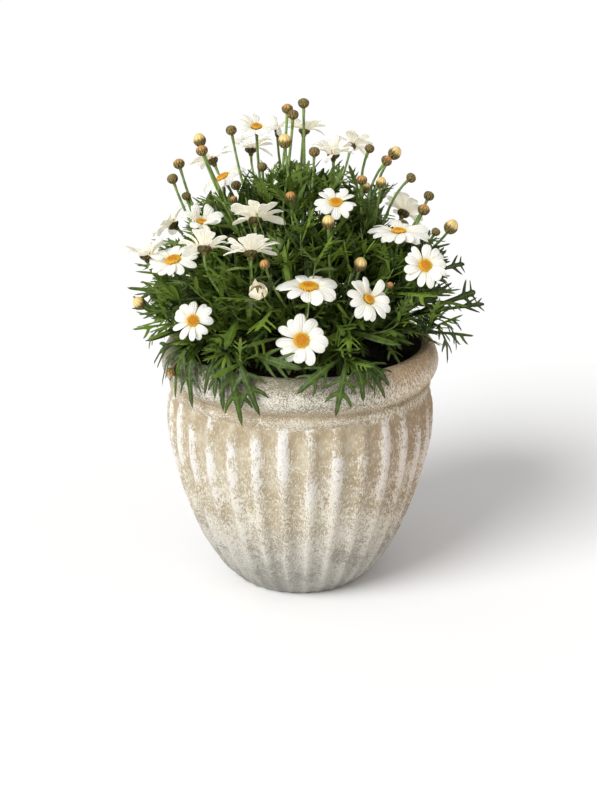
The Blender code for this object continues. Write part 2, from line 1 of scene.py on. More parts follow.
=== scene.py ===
"""Looks of the potted marguerite daisy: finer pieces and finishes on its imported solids.

Lengths are in metres, +Z is up, -Y is the front, and the origin is the middle of the pot's
foot. Places in the tables of stems, blooms, buds and shoots are in millimetres, angles there
are in degrees. Shapes are modelled once, as moulds, and copied along the stems by formula.
"""
import logging
import math
import random
from collections.abc import Callable, Sequence
from dataclasses import dataclass, field
from enum import Enum
from functools import reduce

import bmesh
import bpy
import numpy as np
from mathutils import Matrix, Vector, noise


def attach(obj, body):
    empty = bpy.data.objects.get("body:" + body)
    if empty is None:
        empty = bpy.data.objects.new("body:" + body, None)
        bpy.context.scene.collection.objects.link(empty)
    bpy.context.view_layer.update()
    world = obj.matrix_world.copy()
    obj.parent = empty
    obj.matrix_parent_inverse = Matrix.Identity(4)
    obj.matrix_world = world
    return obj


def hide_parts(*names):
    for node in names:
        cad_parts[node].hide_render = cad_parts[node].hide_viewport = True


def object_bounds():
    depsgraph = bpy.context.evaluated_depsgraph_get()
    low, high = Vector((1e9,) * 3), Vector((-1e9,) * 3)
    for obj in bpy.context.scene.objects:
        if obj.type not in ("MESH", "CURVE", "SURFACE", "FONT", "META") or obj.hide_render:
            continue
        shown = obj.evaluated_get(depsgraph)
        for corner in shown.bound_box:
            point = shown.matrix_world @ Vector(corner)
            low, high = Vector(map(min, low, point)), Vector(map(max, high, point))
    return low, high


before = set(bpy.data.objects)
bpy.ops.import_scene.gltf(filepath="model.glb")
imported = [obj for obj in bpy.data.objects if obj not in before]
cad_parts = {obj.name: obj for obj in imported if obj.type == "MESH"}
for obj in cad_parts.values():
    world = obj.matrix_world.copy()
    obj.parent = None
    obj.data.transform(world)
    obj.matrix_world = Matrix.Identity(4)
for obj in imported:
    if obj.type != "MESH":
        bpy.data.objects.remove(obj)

CAD_LOW, CAD_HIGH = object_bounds()

Colour = tuple[float, float, float]
Point = tuple[float, float, float]
Texture = tuple[float, float, float]
Ramp = tuple[float, ...]
Profile = tuple[tuple[float, float], ...]
Socket = bpy.types.NodeSocket
Node = bpy.types.Node
Tree = bpy.types.NodeTree
Material = bpy.types.Material
Value = float | Colour | Socket

MM = 0.001
BODY = "root"
GOLDEN_TURN = math.radians(137.508)
GOLDEN_SHARE = 0.618
UV_NAME = "spread"
TINT = "tint"
STAGE = "stage"
BLACK: Colour = (0.0, 0.0, 0.0)
SOIL_TOP = 0.208
LOG = logging.getLogger("daisy")


class Slot(Enum):
    """Material slots of the record."""

    POT_CLAY = "pot_clay"
    SOIL = "soil"
    LEAF_GREEN = "leaf_green"
    PETAL = "petal"
    DISC = "disc"


class LeafKind(Enum):
    """Shapes of leaf, by their number of pointed ends."""

    PLAIN = "plain"
    FORK = "fork"
    THREE = "three"
    FIVE = "five"
    SEVEN = "seven"


class BudStage(Enum):
    """How far a bud has come: shut, tan at its top, ripe with petals showing, or opening."""

    SHUT = 0.0
    TAN = 0.5
    RIPE = 1.0
    OPENING = 1.4


@dataclass(frozen=True)
class Stem:
    """A leafy stem: its foot in the soil and its fork."""

    root: tuple[float, float]
    fork: Point


@dataclass(frozen=True)
class Bloom:
    """A bloom: its stem, hub, facing, radius, and the rise, number and eye of its petals."""

    stem: str
    place: Point
    bearing: float
    climb: float
    radius: float
    rise: float
    petals: int = 13
    eye: float = 0.29
    cupped_eye: float = 0.21
    hub_share: float = 0.26
    open_rise: float = 6.0

    @property
    def centre(self) -> Vector:
        """Middle of the hub in metres."""
        return Vector(self.place) * MM

    @property
    def facing(self) -> Vector:
        """Unit vector that the bloom looks along."""
        return heading(self.bearing, self.climb)

    @property
    def hub(self) -> float:
        """Radius of the middle that the petals grow from."""
        return self.hub_share * self.radius * MM

    @property
    def is_open(self) -> bool:
        """True for a bloom whose petals lie about level."""
        return self.rise < self.open_rise

    @property
    def disc(self) -> float:
        """Radius of the yellow eye."""
        return self.radius * MM * (self.eye if self.is_open else self.cupped_eye)


@dataclass(frozen=True)
class Bud:
    """A bud: its stem, centre and radius, its stage, and its facing where that is set."""

    stem: str
    place: Point
    radius: float
    stage: BudStage = BudStage.SHUT
    facing: tuple[float, float] | None = None

    @property
    def centre(self) -> Vector:
        """Middle of the bud in metres."""
        return Vector(self.place) * MM


STEMS: dict[str, Stem] = {
    "front": Stem((2, -32), (2, -56, 246)),
    "front_right": Stem((18, -26), (30, -52, 246)),
    "right_front": Stem((30, -12), (54, -28, 246)),
    "right": Stem((31, 7), (50, 8, 256)),
    "back": Stem((0, 32), (0, 56, 248)),
    "left": Stem((-31, 7), (-54, 8, 250)),
    "front_left": Stem((-20, -24), (-40, -46, 246)),
    "inner_front": Stem((3, -12), (4, -18, 264)),
    "inner_back": Stem((5, 13), (6, 24, 264)),
    "inner_left": Stem((-13, 3), (-22, 3, 264)),
}

BLOOMS: dict[str, Bloom] = {f"bloom_{number:02d}": bloom for number, bloom in enumerate((
    Bloom("front", (1, -114, 259), -88, 30, 22.5, 0, 12, 0.30),
    Bloom("front", (7, -95, 298), -90, 78, 27, -3, 14, 0.30),
    Bloom("front_right", (56, -97, 289), -52, 42, 22, 14, 14, 0.26),
    Bloom("right_front", (103, -80, 313), -80, 35, 20, 4),
    Bloom("front_left", (-89, -88, 268), -100, 30, 18.5, 0, 12),
    Bloom("inner_front", (30, -45, 358), -90, 60, 19.5, 5, 12),
    Bloom("right_front", (84, -35, 331), -80, 83, 27, -3, 18, 0.23),
    Bloom("inner_front", (-38, -28, 341), 86, 57, 26, 30, 15),
    Bloom("front_left", (-41, -75, 324), 95, 61, 25, 34, 15),
    Bloom("front_left", (-80, -60, 324), 85, 60, 26, 32, 15),
    Bloom("left", (-85, -20, 336), -70, 74, 21.5, 36, 11),
    Bloom("left", (-134, -20, 308), 175, 80, 24, 32, 14),
    Bloom("left", (-109, -32, 305), -125, 66, 24, 0, 13),
    Bloom("left", (-117, 55, 318), 165, 42, 24, 20),
    Bloom("inner_left", (-38, 22, 411), -90, 64, 21, 15, 13),
    Bloom("inner_back", (-45, 80, 383), 90, 76, 24, 28, 14),
    Bloom("inner_left", (-69, 45, 362), -160, 60, 22, -8),
    Bloom("left", (-81, 82, 372), 140, 55, 22, 15),
    Bloom("inner_back", (4, 62, 403), 60, 74, 22, 30, 14),
    Bloom("right", (29, 12, 390), -90, 84, 23, 38, 20),
    Bloom("inner_back", (47, 85, 385), 70, 54, 21, 20),
    Bloom("inner_back", (-20, 38, 407), -90, 75, 12, 60, 10),
    Bloom("right", (95, 58, 328), 56, 44, 24, 28, 13),
    Bloom("back", (20, 112, 300), 85, 45, 23, 4, 14),
), 1)}

BUDS: list[Bud] = [
    Bud("inner_back", (3, 28, 431), 5.0),
    Bud("inner_left", (-11, 15, 428), 5.0, BudStage.TAN),
    Bud("inner_left", (-6, -5, 426), 4.8),
    Bud("inner_front", (-13, -25, 407), 5.8, BudStage.RIPE),
    Bud("inner_left", (-59, 0, 412), 4.8),
    Bud("inner_left", (-87, 10, 402), 5.6, BudStage.RIPE),
    Bud("inner_left", (-84, -8, 396), 5.2, BudStage.TAN),
    Bud("left", (-107, 28, 378), 5.2, BudStage.TAN),
    Bud("left", (-112, 16, 367), 5.0),
    Bud("left", (-101, 24, 350), 4.2),
    Bud("inner_left", (-33, 8, 379), 4.5),
    Bud("inner_left", (-58, 0, 352), 3.5, BudStage.TAN),
    Bud("inner_front", (12, -20, 397), 4.8),
    Bud("inner_front", (-8, -50, 365), 4.8, BudStage.TAN),
    Bud("front", (-29, -98, 319), 4.5, BudStage.TAN),
    Bud("front", (-35, -85, 293), 6.0, BudStage.OPENING, (-95, 62)),
    Bud("front_right", (23, -75, 349), 5.5, BudStage.RIPE),
    Bud("left", (-138, -50, 273), 5.4, BudStage.RIPE),
    Bud("right", (61, 25, 392), 4.4, BudStage.SHUT, (0, 66)),
    Bud("right", (83, 20, 389), 5.8, BudStage.RIPE, (0, 50)),
    Bud("right", (75, 5, 385), 5.0, BudStage.TAN, (0, 50)),
    Bud("right", (53, -10, 371), 4.8, BudStage.TAN),
    Bud("right", (70, -5, 368), 4.6, BudStage.RIPE),
    Bud("right", (97, 10, 369), 4.6, BudStage.SHUT, (0, 40)),
    Bud("right", (114, 20, 351), 4.8),
    Bud("right", (108, 0, 343), 5.5, BudStage.TAN),
    Bud("right", (132, -5, 329), 6.3, BudStage.RIPE),
    Bud("right", (118, -12, 326), 4.0),
    Bud("front_right", (50, -74, 313), 5.8, BudStage.RIPE),
    Bud("front_right", (75, -75, 295), 3.5, BudStage.TAN),
    Bud("front_left", (-110, -76, 219), 4.4, BudStage.TAN, (-145, -62)),
    Bud("back", (-60, 97, 345), 5.0),
    Bud("back", (62, 100, 342), 5.0, BudStage.RIPE),
    Bud("back", (98, 96, 308), 5.0),
    Bud("back", (8, 128, 262), 4.6, BudStage.TAN),
]

# Low shoots over the pot's rim: stem, end of the shoot, and the tips of its leaves
RIM_SHOOTS: list[tuple[str, Point, list[Point]]] = [
    ("front_left", (-62, -100, 243), [(-48, -123, 187), (-64, -114, 197), (-80, -105, 208),
                                      (-33, -128, 198), (-71, -111, 207), (2, -130, 240)]),
    ("front_left", (-88, -66, 242), [(-120, -56, 199), (-107, -77, 195), (-91, -96, 193),
                                     (-128, -42, 214)]),
    ("front_right", (39, -105, 239), [(29, -129, 198), (71, -111, 207), (-3, -132, 219),
                                      (74, -110, 218), (52, -121, 208)]),
    ("right", (106, -8, 250), [(163, -10, 260), (157, 10, 266), (141, -30, 241),
                               (139, -18, 219), (129, -40, 214)]),
    ("right", (98, 22, 272), [(148, 22, 288), (136, 44, 262)]),
    ("left", (-94, -18, 246), [(-133, -30, 224), (-130, -22, 259), (-134, 4, 266)]),
    ("left", (-86, 44, 248), [(-134, 52, 246), (-118, 74, 268), (-126, 36, 212)]),
    ("back", (-36, 100, 242), [(-48, 126, 194), (-80, 104, 204), (-24, 143, 254)]),
    ("back", (62, 88, 244), [(60, 120, 198), (96, 98, 208), (98, 108, 262)]),
]


def heading(bearing: float, climb: float) -> Vector:
    """Unit vector at a bearing from +X around +Z and a climb above the level, in degrees."""
    turn, lift = math.radians(bearing), math.radians(climb)
    return Vector((math.cos(turn) * math.cos(lift), math.sin(turn) * math.cos(lift), math.sin(lift)))


def turned_to(axis: Vector) -> np.ndarray:
    """Rotation, three by three, that turns +Z into an axis."""
    return np.array(axis.to_track_quat("Z", "Y").to_matrix())


def shade(red: int, green: int, blue: int) -> Colour:
    """Linear colour of a screen colour.

    Args:
        red: Red from 0 to 255.
        green: Green from 0 to 255.
        blue: Blue from 0 to 255.

    Returns:
        The three linear shares.
    """
    def share(value: int) -> float:
        """Linear share of one channel."""
        part = value / 255
        return part / 12.92 if part <= 0.04045 else ((part + 0.055) / 1.055) ** 2.4

    return (share(red), share(green), share(blue))


def smooth_line(points: Profile, pieces: int) -> list[tuple[float, float]]:
    """Smooth outline through the points of a coarse one.

    Args:
        points: Corners of the outline.
        pieces: Number of pieces that each span is cut into.

    Returns:
        Points of the smooth outline, its ends included.
    """
    corners = [points[0], *points, points[-1]]
    result = []
    for before, start, end, after in zip(corners, corners[1:], corners[2:], corners[3:]):
        for step in range(pieces):
            t = step / pieces
            result.append(tuple(
                0.5 * (2 * b + (c - a) * t + (2 * a - 5 * b + 4 * c - d) * t * t
                       + (3 * b - a - 3 * c + d) * t ** 3)
                for a, b, c, d in zip(before, start, end, after)))
    result.append(points[-1])
    return result


class Line:
    """Bezier line through space, with its points and tangents at many shares at once."""

    def __init__(self, controls: Sequence[Sequence[float]]) -> None:
        """Keep the control points, in metres."""
        self.controls = np.array([list(point) for point in controls], float)

    def point(self, shares: np.ndarray | float) -> np.ndarray:
        """Points at some shares of the way."""
        t = np.atleast_1d(np.asarray(shares, float))[:, None]
        levels = [np.repeat(control[None, :], len(t), 0) for control in self.controls]
        while len(levels) > 1:
            levels = [first * (1 - t) + second * t for first, second in zip(levels, levels[1:])]
        return levels[0]

    def tangent(self, shares: np.ndarray | float) -> np.ndarray:
        """Unit tangents at some shares of the way."""
        t = np.atleast_1d(np.asarray(shares, float))
        along = self.point(t + 0.01) - self.point(t - 0.01)
        return along / np.linalg.norm(along, axis=1, keepdims=True)

    def length(self) -> float:
        """Length of the line, from a dozen chords."""
        return float(np.linalg.norm(np.diff(self.point(np.linspace(0, 1, 13)), axis=0), axis=1).sum())


class Bench:
    """Workbench for one mesh, which Blender's operators shape in edit mode."""

    def __init__(self, primitive: Callable, **settings: object) -> None:
        """Add a primitive with nothing else selected and open it in edit mode.

        Args:
            primitive: Operator that adds the primitive.
            settings: What the operator is told.
        """
        clear_selection()
        primitive(**settings)
        self.obj = bpy.context.object
        bpy.ops.object.mode_set(mode="EDIT")

    def pick(self, test: Callable[[Vector], bool]) -> None:
        """Select the vertices that pass a test of their place, and what lies between them.

        Args:
            test: True for a place that is wanted.
        """
        bpy.ops.mesh.select_mode(type="VERT")
        bpy.ops.mesh.select_all(action="DESELECT")
        shape = bmesh.from_edit_mesh(self.obj.data)
        for vertex in shape.verts:
            vertex.select = test(vertex.co)
        shape.select_flush(True)
        bmesh.update_edit_mesh(self.obj.data)

    def centre(self) -> Vector:
        """Middle of the selected vertices."""
        chosen = [v.co for v in bmesh.from_edit_mesh(self.obj.data).verts if v.select]
        return sum(chosen, Vector()) / len(chosen)

    def extend(self, step: Point, scale: Point, about: Point | None = None) -> None:
        """Push the selection out by a step, then scale it about a point or its middle."""
        bpy.ops.mesh.extrude_region_move(TRANSFORM_OT_translate={"value": step})
        bpy.ops.transform.resize(value=scale, center_override=about or self.centre())

    def weld(self, distance: float = 1e-5) -> None:
        """Merge vertices that lie at one place."""
        bpy.ops.mesh.select_all(action="SELECT")
        bpy.ops.mesh.remove_doubles(threshold=distance)

    def face_out(self) -> None:
        """Turn all faces outwards."""
        bpy.ops.mesh.select_all(action="SELECT")
        bpy.ops.mesh.normals_make_consistent(inside=False)

    def modify(self, kind: str, **settings: object) -> None:
        """Add a modifier and apply it.

        Args:
            kind: Blender's name for the modifier.
            settings: Values of the modifier.
        """
        bpy.ops.object.mode_set(mode="OBJECT")
        modifier = self.obj.modifiers.new(kind.lower(), kind)
        for name, value in settings.items():
            setattr(modifier, name, value)
        bpy.ops.object.modifier_apply(modifier=modifier.name)
        bpy.ops.object.mode_set(mode="EDIT")

    def pillow(self, thickness: float) -> None:
        """Close a flat sheet into a thin blade: sharp at its outline, thick at its ribs."""
        bpy.ops.mesh.select_all(action="SELECT")
        bpy.ops.mesh.duplicate()
        bpy.ops.mesh.flip_normals()
        shape = bmesh.from_edit_mesh(self.obj.data)
        for vertex in shape.verts:
            if not vertex.is_boundary:
                vertex.co.z += -thickness / 2 if vertex.select else thickness / 2
        bmesh.update_edit_mesh(self.obj.data)
        self.weld(1e-4)

    def done(self) -> bpy.types.Object:
        """Close edit mode and return the object."""
        bpy.ops.object.mode_set(mode="OBJECT")
        return self.obj


def spun(outline: Sequence[tuple[float, float]], steps: int) -> bpy.types.Object:
    """Draw an outline point by point and spin it into a closed shell.

    Args:
        outline: Radius and height of each point, from axis to axis.
        steps: Number of steps round the axis.

    Returns:
        The shell.
    """
    bench = Bench(bpy.ops.mesh.primitive_plane_add, size=MM, location=(0, 0, 0))
    bpy.ops.mesh.merge(type="CENTER")
    bpy.ops.transform.translate(value=(outline[0][0], 0.0, outline[0][1]))
    for first, second in zip(outline, outline[1:]):
        step = (second[0] - first[0], 0.0, second[1] - first[1])
        bpy.ops.mesh.extrude_vertices_move(TRANSFORM_OT_translate={"value": step})
    bpy.ops.mesh.select_all(action="SELECT")
    bpy.ops.mesh.spin(steps=steps, angle=2 * math.pi, center=(0, 0, 0), axis=(0, 0, 1))
    bench.weld()
    bench.face_out()
    return bench.done()


def lumpy(place: Vector, lumps: Profile) -> float:
    """Height of lumps at a place, from the scale and share of each noise."""
    return sum(share * noise.noise(place * scale) for scale, share in lumps)


def clear_selection() -> None:
    """Deselect every object, so that an operator acts on nothing else."""
    bpy.ops.object.select_all(action="DESELECT")


@dataclass
class Mould:
    """A shape that is copied: its points, faces, and a map of each point."""

    points: np.ndarray
    loops: np.ndarray
    sizes: np.ndarray
    spread: np.ndarray

    @classmethod
    def cast_from(cls, obj: bpy.types.Object,
                  spread: Callable[[np.ndarray], np.ndarray] | None = None) -> "Mould":
        """Read a mould from an object, which is removed.

        Args:
            obj: The modelled object.
            spread: Gives the map of the points, two numbers each, or None for no map.

        Returns:
            The mould.
        """
        mesh = obj.data
        mesh.transform(obj.matrix_world)
        points = np.zeros(len(mesh.vertices) * 3)
        mesh.vertices.foreach_get("co", points)
        loops = np.zeros(len(mesh.loops), np.int32)
        mesh.loops.foreach_get("vertex_index", loops)
        sizes = np.array([face.loop_total for face in mesh.polygons], np.int32)
        points = points.reshape(-1, 3)
        bpy.data.objects.remove(obj)
        return cls(points, loops, sizes, spread(points) if spread else np.zeros((len(points), 2)))


@dataclass
class Casting:
    """Copies of moulds gathered into one mesh, each with its tint and stage."""

    points: list[np.ndarray] = field(default_factory=list)
    loops: list[np.ndarray] = field(default_factory=list)
    sizes: list[np.ndarray] = field(default_factory=list)
    spread: list[np.ndarray] = field(default_factory=list)
    tint: list[np.ndarray] = field(default_factory=list)
    stage: list[np.ndarray] = field(default_factory=list)
    count: int = 0

    def pour(self, mould: Mould, points: np.ndarray, tint: float, stage: float = 0.0) -> None:
        """Add a copy of a mould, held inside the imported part's box.

        Args:
            mould: The shape.
            points: Where its points lie.
            tint: Share by which this copy's colour differs.
            stage: Share that a finish reads for age or place.
        """
        self.points.append(np.clip(points, CAD_LOW, CAD_HIGH))
        self.loops.append(mould.loops + self.count)
        self.sizes.append(mould.sizes)
        self.spread.append(mould.spread[mould.loops])
        self.tint.append(np.full(len(points), tint))
        self.stage.append(np.full(len(points), stage))
        self.count += len(points)

    def piece(self, name: str, finish: Material, crease: float = 50.0) -> bpy.types.Object:
        """Make the gathered copies one object.

        Args:
            name: Name of the piece.
            finish: Its material.
            crease: Angle in degrees past which an edge stays sharp.

        Returns:
            The object.
        """
        mesh = bpy.data.meshes.new(name)
        sizes = np.concatenate(self.sizes)
        loops = np.concatenate(self.loops)
        mesh.vertices.add(self.count)
        mesh.vertices.foreach_set("co", np.concatenate(self.points).astype(np.float32).ravel())
        mesh.loops.add(len(loops))
        mesh.loops.foreach_set("vertex_index", loops.astype(np.int32))
        mesh.polygons.add(len(sizes))
        mesh.polygons.foreach_set("loop_start", (np.cumsum(sizes) - sizes).astype(np.int32))
        mesh.update(calc_edges=True)
        layer = mesh.uv_layers.new(name=UV_NAME)
        layer.data.foreach_set("uv", np.concatenate(self.spread).astype(np.float32).ravel())
        for label, values in ((TINT, self.tint), (STAGE, self.stage)):
            attribute = mesh.attributes.new(label, "FLOAT", "POINT")
            attribute.data.foreach_set("value", np.concatenate(values).astype(np.float32))
        mesh.polygons.foreach_set("use_smooth", np.ones(len(sizes), bool))
        mesh.set_sharp_from_angle(angle=math.radians(crease))
        mesh.validate()
        obj = bpy.data.objects.new(name, mesh)
        bpy.context.scene.collection.objects.link(obj)
        mesh.materials.append(finish)
        return obj


def present(piece: bpy.types.Object, slot: Slot, *nodes: str) -> None:
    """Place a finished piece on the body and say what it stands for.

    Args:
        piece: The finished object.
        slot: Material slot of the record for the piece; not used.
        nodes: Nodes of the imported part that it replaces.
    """
    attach(piece, BODY)
    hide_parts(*nodes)
    LOG.info("%s: %d faces, stands for %s", piece.name, len(piece.data.polygons), ", ".join(nodes))


class NodeDesk:
    """Places and joins the nodes of one material or node group."""

    def __init__(self, tree: Tree) -> None:
        """Keep the tree that is worked on."""
        self.tree = tree

    def add(self, kind: str, inputs: dict[str | int, Value] | None = None, **settings: object) -> Node:
        """Add a node.

        Args:
            kind: Blender's name for the node.
            inputs: Values or sockets for its inputs.
            settings: Its other settings.

        Returns:
            The node.
        """
        node = self.tree.nodes.new(kind)
        for name, value in settings.items():
            setattr(node, name, value)
        for name, value in (inputs or {}).items():
            self.feed(node.inputs[name], value)
        return node

    def feed(self, socket: Socket, value: Value) -> None:
        """Join a socket to an input, or set the input's own value."""
        if isinstance(value, Socket):
            self.tree.links.new(value, socket)
        elif isinstance(value, tuple) and socket.type == "RGBA":
            socket.default_value = (*value, 1.0)
        else:
            socket.default_value = value

    def dress(self, shader: Node, colour: Value, roughness: Value, normal: Value) -> None:
        """Join a colour, a roughness and normals to a shader."""
        for name, value in (("Base Color", colour), ("Roughness", roughness), ("Normal", normal)):
            self.feed(shader.inputs[name], value)

    def object_place(self) -> Socket:
        """Place on the piece, in metres."""
        return self.add("ShaderNodeTexCoord").outputs["Object"]

    def axis(self, vector: Socket, name: str) -> Socket:
        """One part, X, Y or Z, of a vector."""
        return self.add("ShaderNodeSeparateXYZ", {"Vector": vector}).outputs[name]

    def spread(self) -> Socket:
        """The piece's own map, as a vector."""
        return self.add("ShaderNodeUVMap", uv_map=UV_NAME).outputs["UV"]

    def mark(self, name: str) -> Socket:
        """Share that a point attribute holds."""
        return self.add("ShaderNodeAttribute", attribute_name=name).outputs["Fac"]

    def noise(self, vector: Socket, scale: Value, detail: float, roughness: float = 0.55) -> Socket:
        """Noise from 0 to 1 on a vector."""
        inputs = {"Vector": vector, "Scale": scale, "Detail": detail, "Roughness": roughness}
        return self.add("ShaderNodeTexNoise", inputs).outputs["Fac"]

    def join(self, operation: str, *parts: Value) -> Socket:
        """Numbers joined one after another by an operation."""
        return reduce(lambda first, second: self.add(
            "ShaderNodeMath", {0: first, 1: second}, operation=operation).outputs[0], parts)

    def sum(self, *parts: Value) -> Socket:
        """Numbers added."""
        return self.join("ADD", *parts)

    def times(self, *parts: Value) -> Socket:
        """Numbers multiplied."""
        return self.join("MULTIPLY", *parts)

    def span(self, value: Value, low: Value, high: Value, start: float = 0.0, end: float = 1.0) -> Socket:
        """A number moved smoothly from one range to another and held inside it."""
        inputs = {"Value": value, "From Min": low, "From Max": high, "To Min": start, "To Max": end}
        return self.add("ShaderNodeMapRange", inputs, interpolation_type="SMOOTHSTEP").outputs["Result"]

    def blend(self, share: Value, first: Value, second: Value) -> Socket:
        """Two numbers mixed."""
        return self.add("ShaderNodeMix", {0: share, 2: first, 3: second}).outputs[0]

    def mix(self, share: Value, first: Value, second: Value) -> Socket:
        """Two colours mixed."""
        return self.add("ShaderNodeMix", {0: share, 6: first, 7: second}, data_type="RGBA").outputs[2]

    def bump(self, height: Socket, distance: float, strength: float, below: Socket | None = None) -> Socket:
        """Normals of a height, over those of a bump below it."""
        inputs = {"Height": height, "Distance": distance, "Strength": strength}
        if below:
            inputs["Normal"] = below
        return self.add("ShaderNodeBump", inputs).outputs["Normal"]

    def group(self, tree: Tree, inputs: dict[str | int, Value], output: str) -> Socket:
        """A placed node group's output."""
        return self.add("ShaderNodeGroup", inputs, node_tree=tree).outputs[output]


@dataclass
class Effects:
    """Node groups that several finishes share."""

    mottle: Tree = None
    grain: Tree = None
    furrows: Tree = None

    def __post_init__(self) -> None:
        """Build each group once."""
        self.mottle = self.build_mottle()
        self.grain = self.build_grain()
        self.furrows = self.build_furrows()

    @staticmethod
    def start(name: str, inputs: Sequence[str], output: str) -> tuple[NodeDesk, Node, Node]:
        """Open a group with a vector, some numbers and one output.

        Args:
            name: Name of the group.
            inputs: Names of its number inputs.
            output: Name of its output.

        Returns:
            The desk, the input node and the output node.
        """
        tree = bpy.data.node_groups.new(name, "ShaderNodeTree")
        tree.interface.new_socket(name="Vector", in_out="INPUT", socket_type="NodeSocketVector")
        for label in inputs:
            tree.interface.new_socket(name=label, in_out="INPUT", socket_type="NodeSocketFloat")
        tree.interface.new_socket(name=output, in_out="OUTPUT", socket_type="NodeSocketFloat")
        return NodeDesk(tree), tree.nodes.new("NodeGroupInput"), tree.nodes.new("NodeGroupOutput")

    def build_mottle(self) -> Tree:
        """Soft patches: a mask that rises from 0 at Low to 1 at High of a noise."""
        desk, given, result = self.start("mottle", ("Scale", "Low", "High"), "Mask")
        value = desk.noise(given.outputs["Vector"], given.outputs["Scale"], 4.0, 0.6)
        desk.feed(result.inputs["Mask"], desk.span(value, given.outputs["Low"], given.outputs["High"]))
        return desk.tree

    def build_grain(self) -> Tree:
        """Fine grain for bumps: noise over small cells."""
        desk, given, result = self.start("grain", ("Scale",), "Height")
        place = {name: given.outputs[name] for name in ("Vector", "Scale")}
        cells = desk.add("ShaderNodeTexVoronoi", place).outputs["Distance"]
        fine = desk.noise(place["Vector"], place["Scale"], 3.0, 0.65)
        desk.feed(result.inputs["Height"], desk.sum(fine, desk.times(cells, 0.5)))
        return desk.tree

    def build_furrows(self) -> Tree:
        """Furrows side by side along a map, Count of them from edge to edge."""
        desk, given, result = self.start("furrows", ("Count",), "Height")
        angle = desk.times(desk.axis(given.outputs["Vector"], "X"), given.outputs["Count"], 2 * math.pi)
        desk.feed(result.inputs["Height"], desk.span(desk.join("COSINE", angle, 0.0), -1.0, 1.0))
        return desk.tree

    def spots(self, desk: NodeDesk, place: Socket, scale: float, low: float, high: float) -> Socket:
        """Mask of soft spots at a place."""
        return desk.group(self.mottle, {"Vector": place, "Scale": scale, "Low": low, "High": high}, "Mask")

    def roughen(self, desk: NodeDesk, place: Socket, scale: float, depth: float, strength: float) -> Socket:
        """Normals of the fine grain at a place, its depth in metres."""
        height = desk.group(self.grain, {"Vector": place, "Scale": scale}, "Height")
        return desk.bump(height, depth, strength)

    def furrow(self, desk: NodeDesk, spread: Socket, count: float) -> Socket:
        """Height of furrows across a map."""
        return desk.group(self.furrows, {"Vector": spread, "Count": count}, "Height")


@dataclass(frozen=True)
class Strokes:
    """Noise drawn out into strokes: the turn and scale of its place, its density and grain."""

    turn: Point
    stretch: Point
    density: float
    detail: float = 3.0
    roughness: float = 0.65

    def read(self, desk: NodeDesk, place: Socket) -> Socket:
        """Noise of the strokes at a place."""
        inputs = {"Vector": place, "Rotation": self.turn, "Scale": self.stretch}
        mapped = desk.add("ShaderNodeMapping", inputs).outputs["Vector"]
        return desk.noise(mapped, self.density, self.detail, self.roughness)


def principled(name: str, **constants: float | Sequence[float]) -> tuple[Material, NodeDesk, Node]:
    """A material with a Principled shader and its constant values.

    Args:
        name: Name of the material.
        constants: Values of the shader's own sockets, with _ for a space.

    Returns:
        The material, its desk and the shader.
    """
    material = bpy.data.materials.new(name)
    material.use_nodes = True
    shader = material.node_tree.nodes["Principled BSDF"]
    for label, value in constants.items():
        shader.inputs[label.replace("_", " ")].default_value = value
    return material, NodeDesk(material.node_tree), shader


